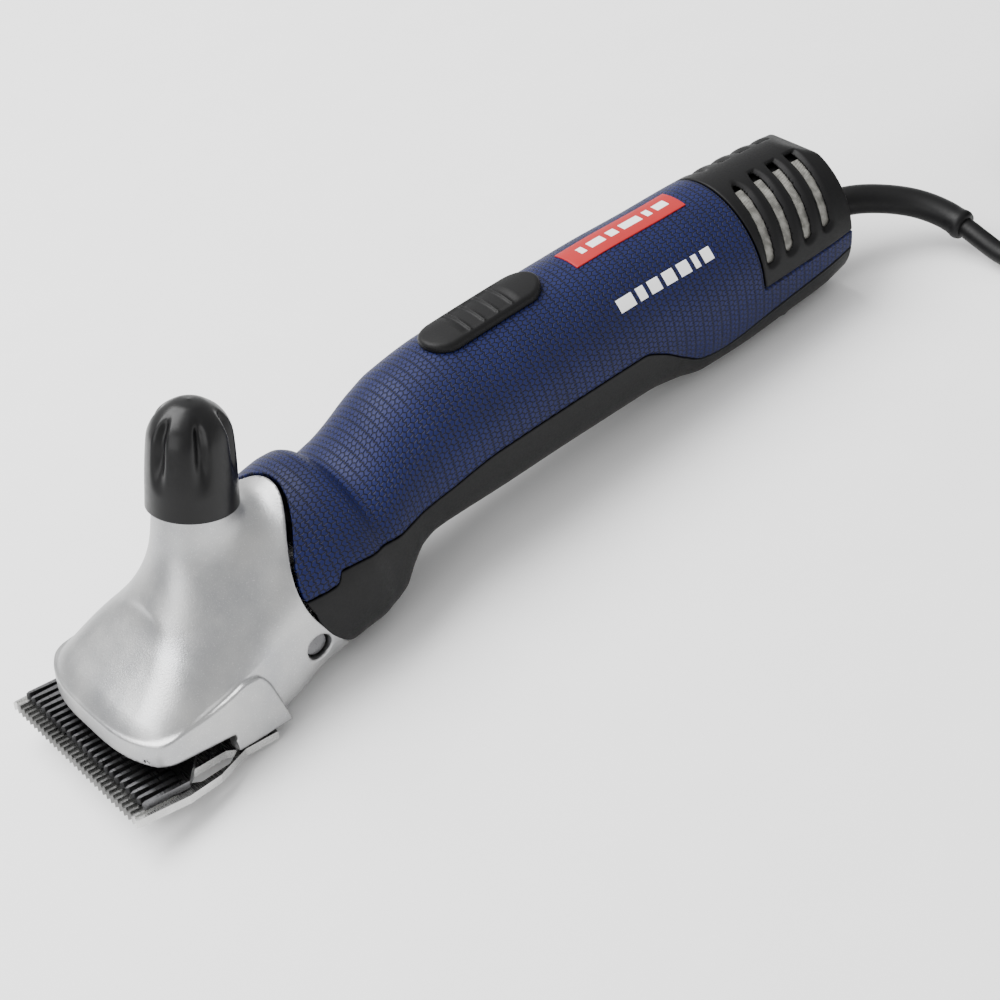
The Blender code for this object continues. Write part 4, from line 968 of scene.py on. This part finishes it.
def coil_points():
    """Four flat spirals, in and out by turns, joined by half turns that climb a layer."""
    rows = []
    angle = -0.5 * math.pi
    for layer in range(4):
        z = 3.55 + 7.06 * layer
        t = np.arange(0.0, 2.5, 1 / 48)
        inward = layer % 2 == 0
        r = 49.0 - 7.02 * t if inward else 31.45 + 7.02 * t
        rows.append(np.stack([angle + 2 * math.pi * t, r, z + 0 * t], -1))
        angle += 5 * math.pi
        if layer < 3:
            t = np.arange(0.0, 0.5, 1 / 48)
            r = 31.45 - 1.3 * np.sin(2 * math.pi * t) if inward else 49.0 + 1.5 * np.sin(2 * math.pi * t)
            rows.append(np.stack([angle + 2 * math.pi * t, r, z + 7.06 * smoothstep(0.0, 0.5, t)], -1))
            angle += math.pi
    a, r, z = np.concatenate(rows).T
    return np.stack([COIL[0] + r * np.cos(a), COIL[1] + r * np.sin(a), z], -1)


def tail_points():
    """From the top layer out by a little, then a turn of radius 30 over the coil, rising into the plug."""
    t = np.arange(0.0, 0.2, 1 / 60)
    a = 0.5 * math.pi + 2 * math.pi * t
    r = 49.0 + 1.2 * smoothstep(0.0, 0.18, t)
    first = np.stack([r * np.cos(a), r * np.sin(a)], -1)
    way = np.array([math.cos(PLUG_HEADING), math.sin(PLUG_HEADING)])
    left = np.array([-way[1], way[0]])
    back = np.radians(np.linspace(84.0, 0.0, 15))[:, None]
    arc = PLUG_START[:2] + 30.0 * left * (1 - np.cos(back)) - 30.0 * way * np.sin(back)
    flat = np.concatenate([first, arc, [PLUG_START[:2] + 1.5 * way]])
    length = np.concatenate([[0], np.cumsum(np.linalg.norm(np.diff(flat, axis=0), axis=1))])
    z = 3.55 + 3 * 7.06 + (PLUG_START[2] - 3.55 - 3 * 7.06) * smoothstep(0.0, length[-1] - 1.5, length)
    return np.concatenate([flat + COIL, z[:, None]], 1)


def tube(name, points, radius, body, material, sides=20, caps=True):
    """Round tube along a path, its frame carried without twist."""
    points = np.asarray(points, float)
    radius = np.broadcast_to(np.asarray(radius, float), len(points))
    ahead = np.gradient(points, axis=0)
    ahead /= np.linalg.norm(ahead, axis=1, keepdims=True)
    side = np.cross(ahead[0], (0.0, 0.0, 1.0))
    rings = []
    for point, way, r in zip(points, ahead, radius):
        side = side - way * side.dot(way)
        side /= np.linalg.norm(side)
        up = np.cross(side, way)
        t = np.linspace(0, 2 * math.pi, sides + 1)[:-1, None]
        rings.append(point + r * (np.cos(t) * side + np.sin(t) * up))
    if caps:
        rings = [np.repeat(points[:1], sides, 0)] + rings + [np.repeat(points[-1:], sides, 0)]
    p = np.array(rings)
    faces = grid_faces(p.shape[0], p.shape[1], True)[:, ::-1]
    return make(name, p.reshape(-1, 3) * 0.001, faces, body, material)


def cord():
    """Cord through the coil to the plug as one tube, with its relief, strap and plug."""
    coil = coil_points()
    first = smooth_route(RELIEF + LEAD + [tuple(coil[0]), tuple(coil[2])], 130)[:-1]
    points = np.concatenate([first, coil[3:], tail_points()])
    flex = tube("power_cord", points, CORD / 2, "housing", RUBBER, 16)
    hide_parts("cord_tube", "cord_coil", "cord_tail")
    route = smooth_route(RELIEF, 60)
    s = np.linspace(0, 1, 60)
    radii = 5.35 - 0.5 * s
    radii = radii + 0.42 * smoothstep(0.94, 0.965, s) - 0.5 * smoothstep(0.985, 1.0, s)
    relief = tube("relief_sleeve", route, radii, "housing", RUBBER, 28)
    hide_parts("strain_relief")
    band = cord_tie()
    plug = plug_skin()


def cord_tie():
    """Strap round the coil's section on its far side: a rounded rectangle."""
    a = np.linspace(0, 2 * math.pi, 97)[:-1]
    r = 40.2 + 14.9 * np.sign(np.cos(a)) * np.abs(np.cos(a)) ** 0.3
    z = 14.6 + 14.5 * np.sign(np.sin(a)) * np.abs(np.sin(a)) ** 0.3
    rows = []
    for off, grow in ((-7.0, -0.35), (-6.6, 0.25), (-6.0, 0.4), (6.0, 0.4), (6.6, 0.25), (7.0, -0.35)):
        rr = r + grow * np.cos(a)
        zz = np.maximum(z + grow * np.sin(a), 0.05)
        way = np.array([math.cos(math.radians(20)), math.sin(math.radians(20))])
        across = np.array([-way[1], way[0]])
        spot = COIL + rr[:, None] * way + off * across
        rows.append(np.concatenate([spot, zz[:, None]], 1))
    p = np.array(rows)
    obj = make("cord_tie", p.reshape(-1, 3) * 0.001, grid_faces(len(rows), len(a), True)[:, ::-1], "housing",
               BLACK)
    return obj


def plug_skin():
    """Moulded plug: ribbed sleeve that swells into a round body."""
    profile = np.array([
        (0.0, -0.3, 3.9), (1.0, -0.3, 4.9), (2.0, 0.2, 5.2), (3.0, 6.0, 5.8), (4.0, 12.0, 6.6), (5.0, 16.0, 9.6),
        (6.0, 22.0, 12.2), (7.0, 30.0, 12.9), (8.0, 42.0, 12.9), (9.0, 45.4, 12.4), (10.0, 46.0, 11.6),
        (11.0, 46.0, 0.01),
    ])
    t = np.linspace(0, 11, 200)
    row = curve(profile, t)
    x, r = row[:, 0], row[:, 1]
    r = r - 0.45 * (np.sin(x * 2.2) > 0.3) * (x > 2.0) * (x < 12.5)
    a = np.linspace(0, 2 * math.pi, 65)[:-1]
    way = np.array([math.cos(PLUG_HEADING), math.sin(PLUG_HEADING)])
    start = COIL + PLUG_START[:2]
    side = r[:, None] * np.cos(a)
    px = start[0] + x[:, None] * way[0] - side * way[1]
    py = start[1] + x[:, None] * way[1] + side * way[0]
    p = np.stack([px, py, PLUG_START[2] + r[:, None] * np.sin(a)], -1)
    obj = make("plug_skin", p.reshape(-1, 3) * 0.001, grid_faces(len(t), len(a), True), "housing", RUBBER)
    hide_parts("plug_body")
    return obj


cord()
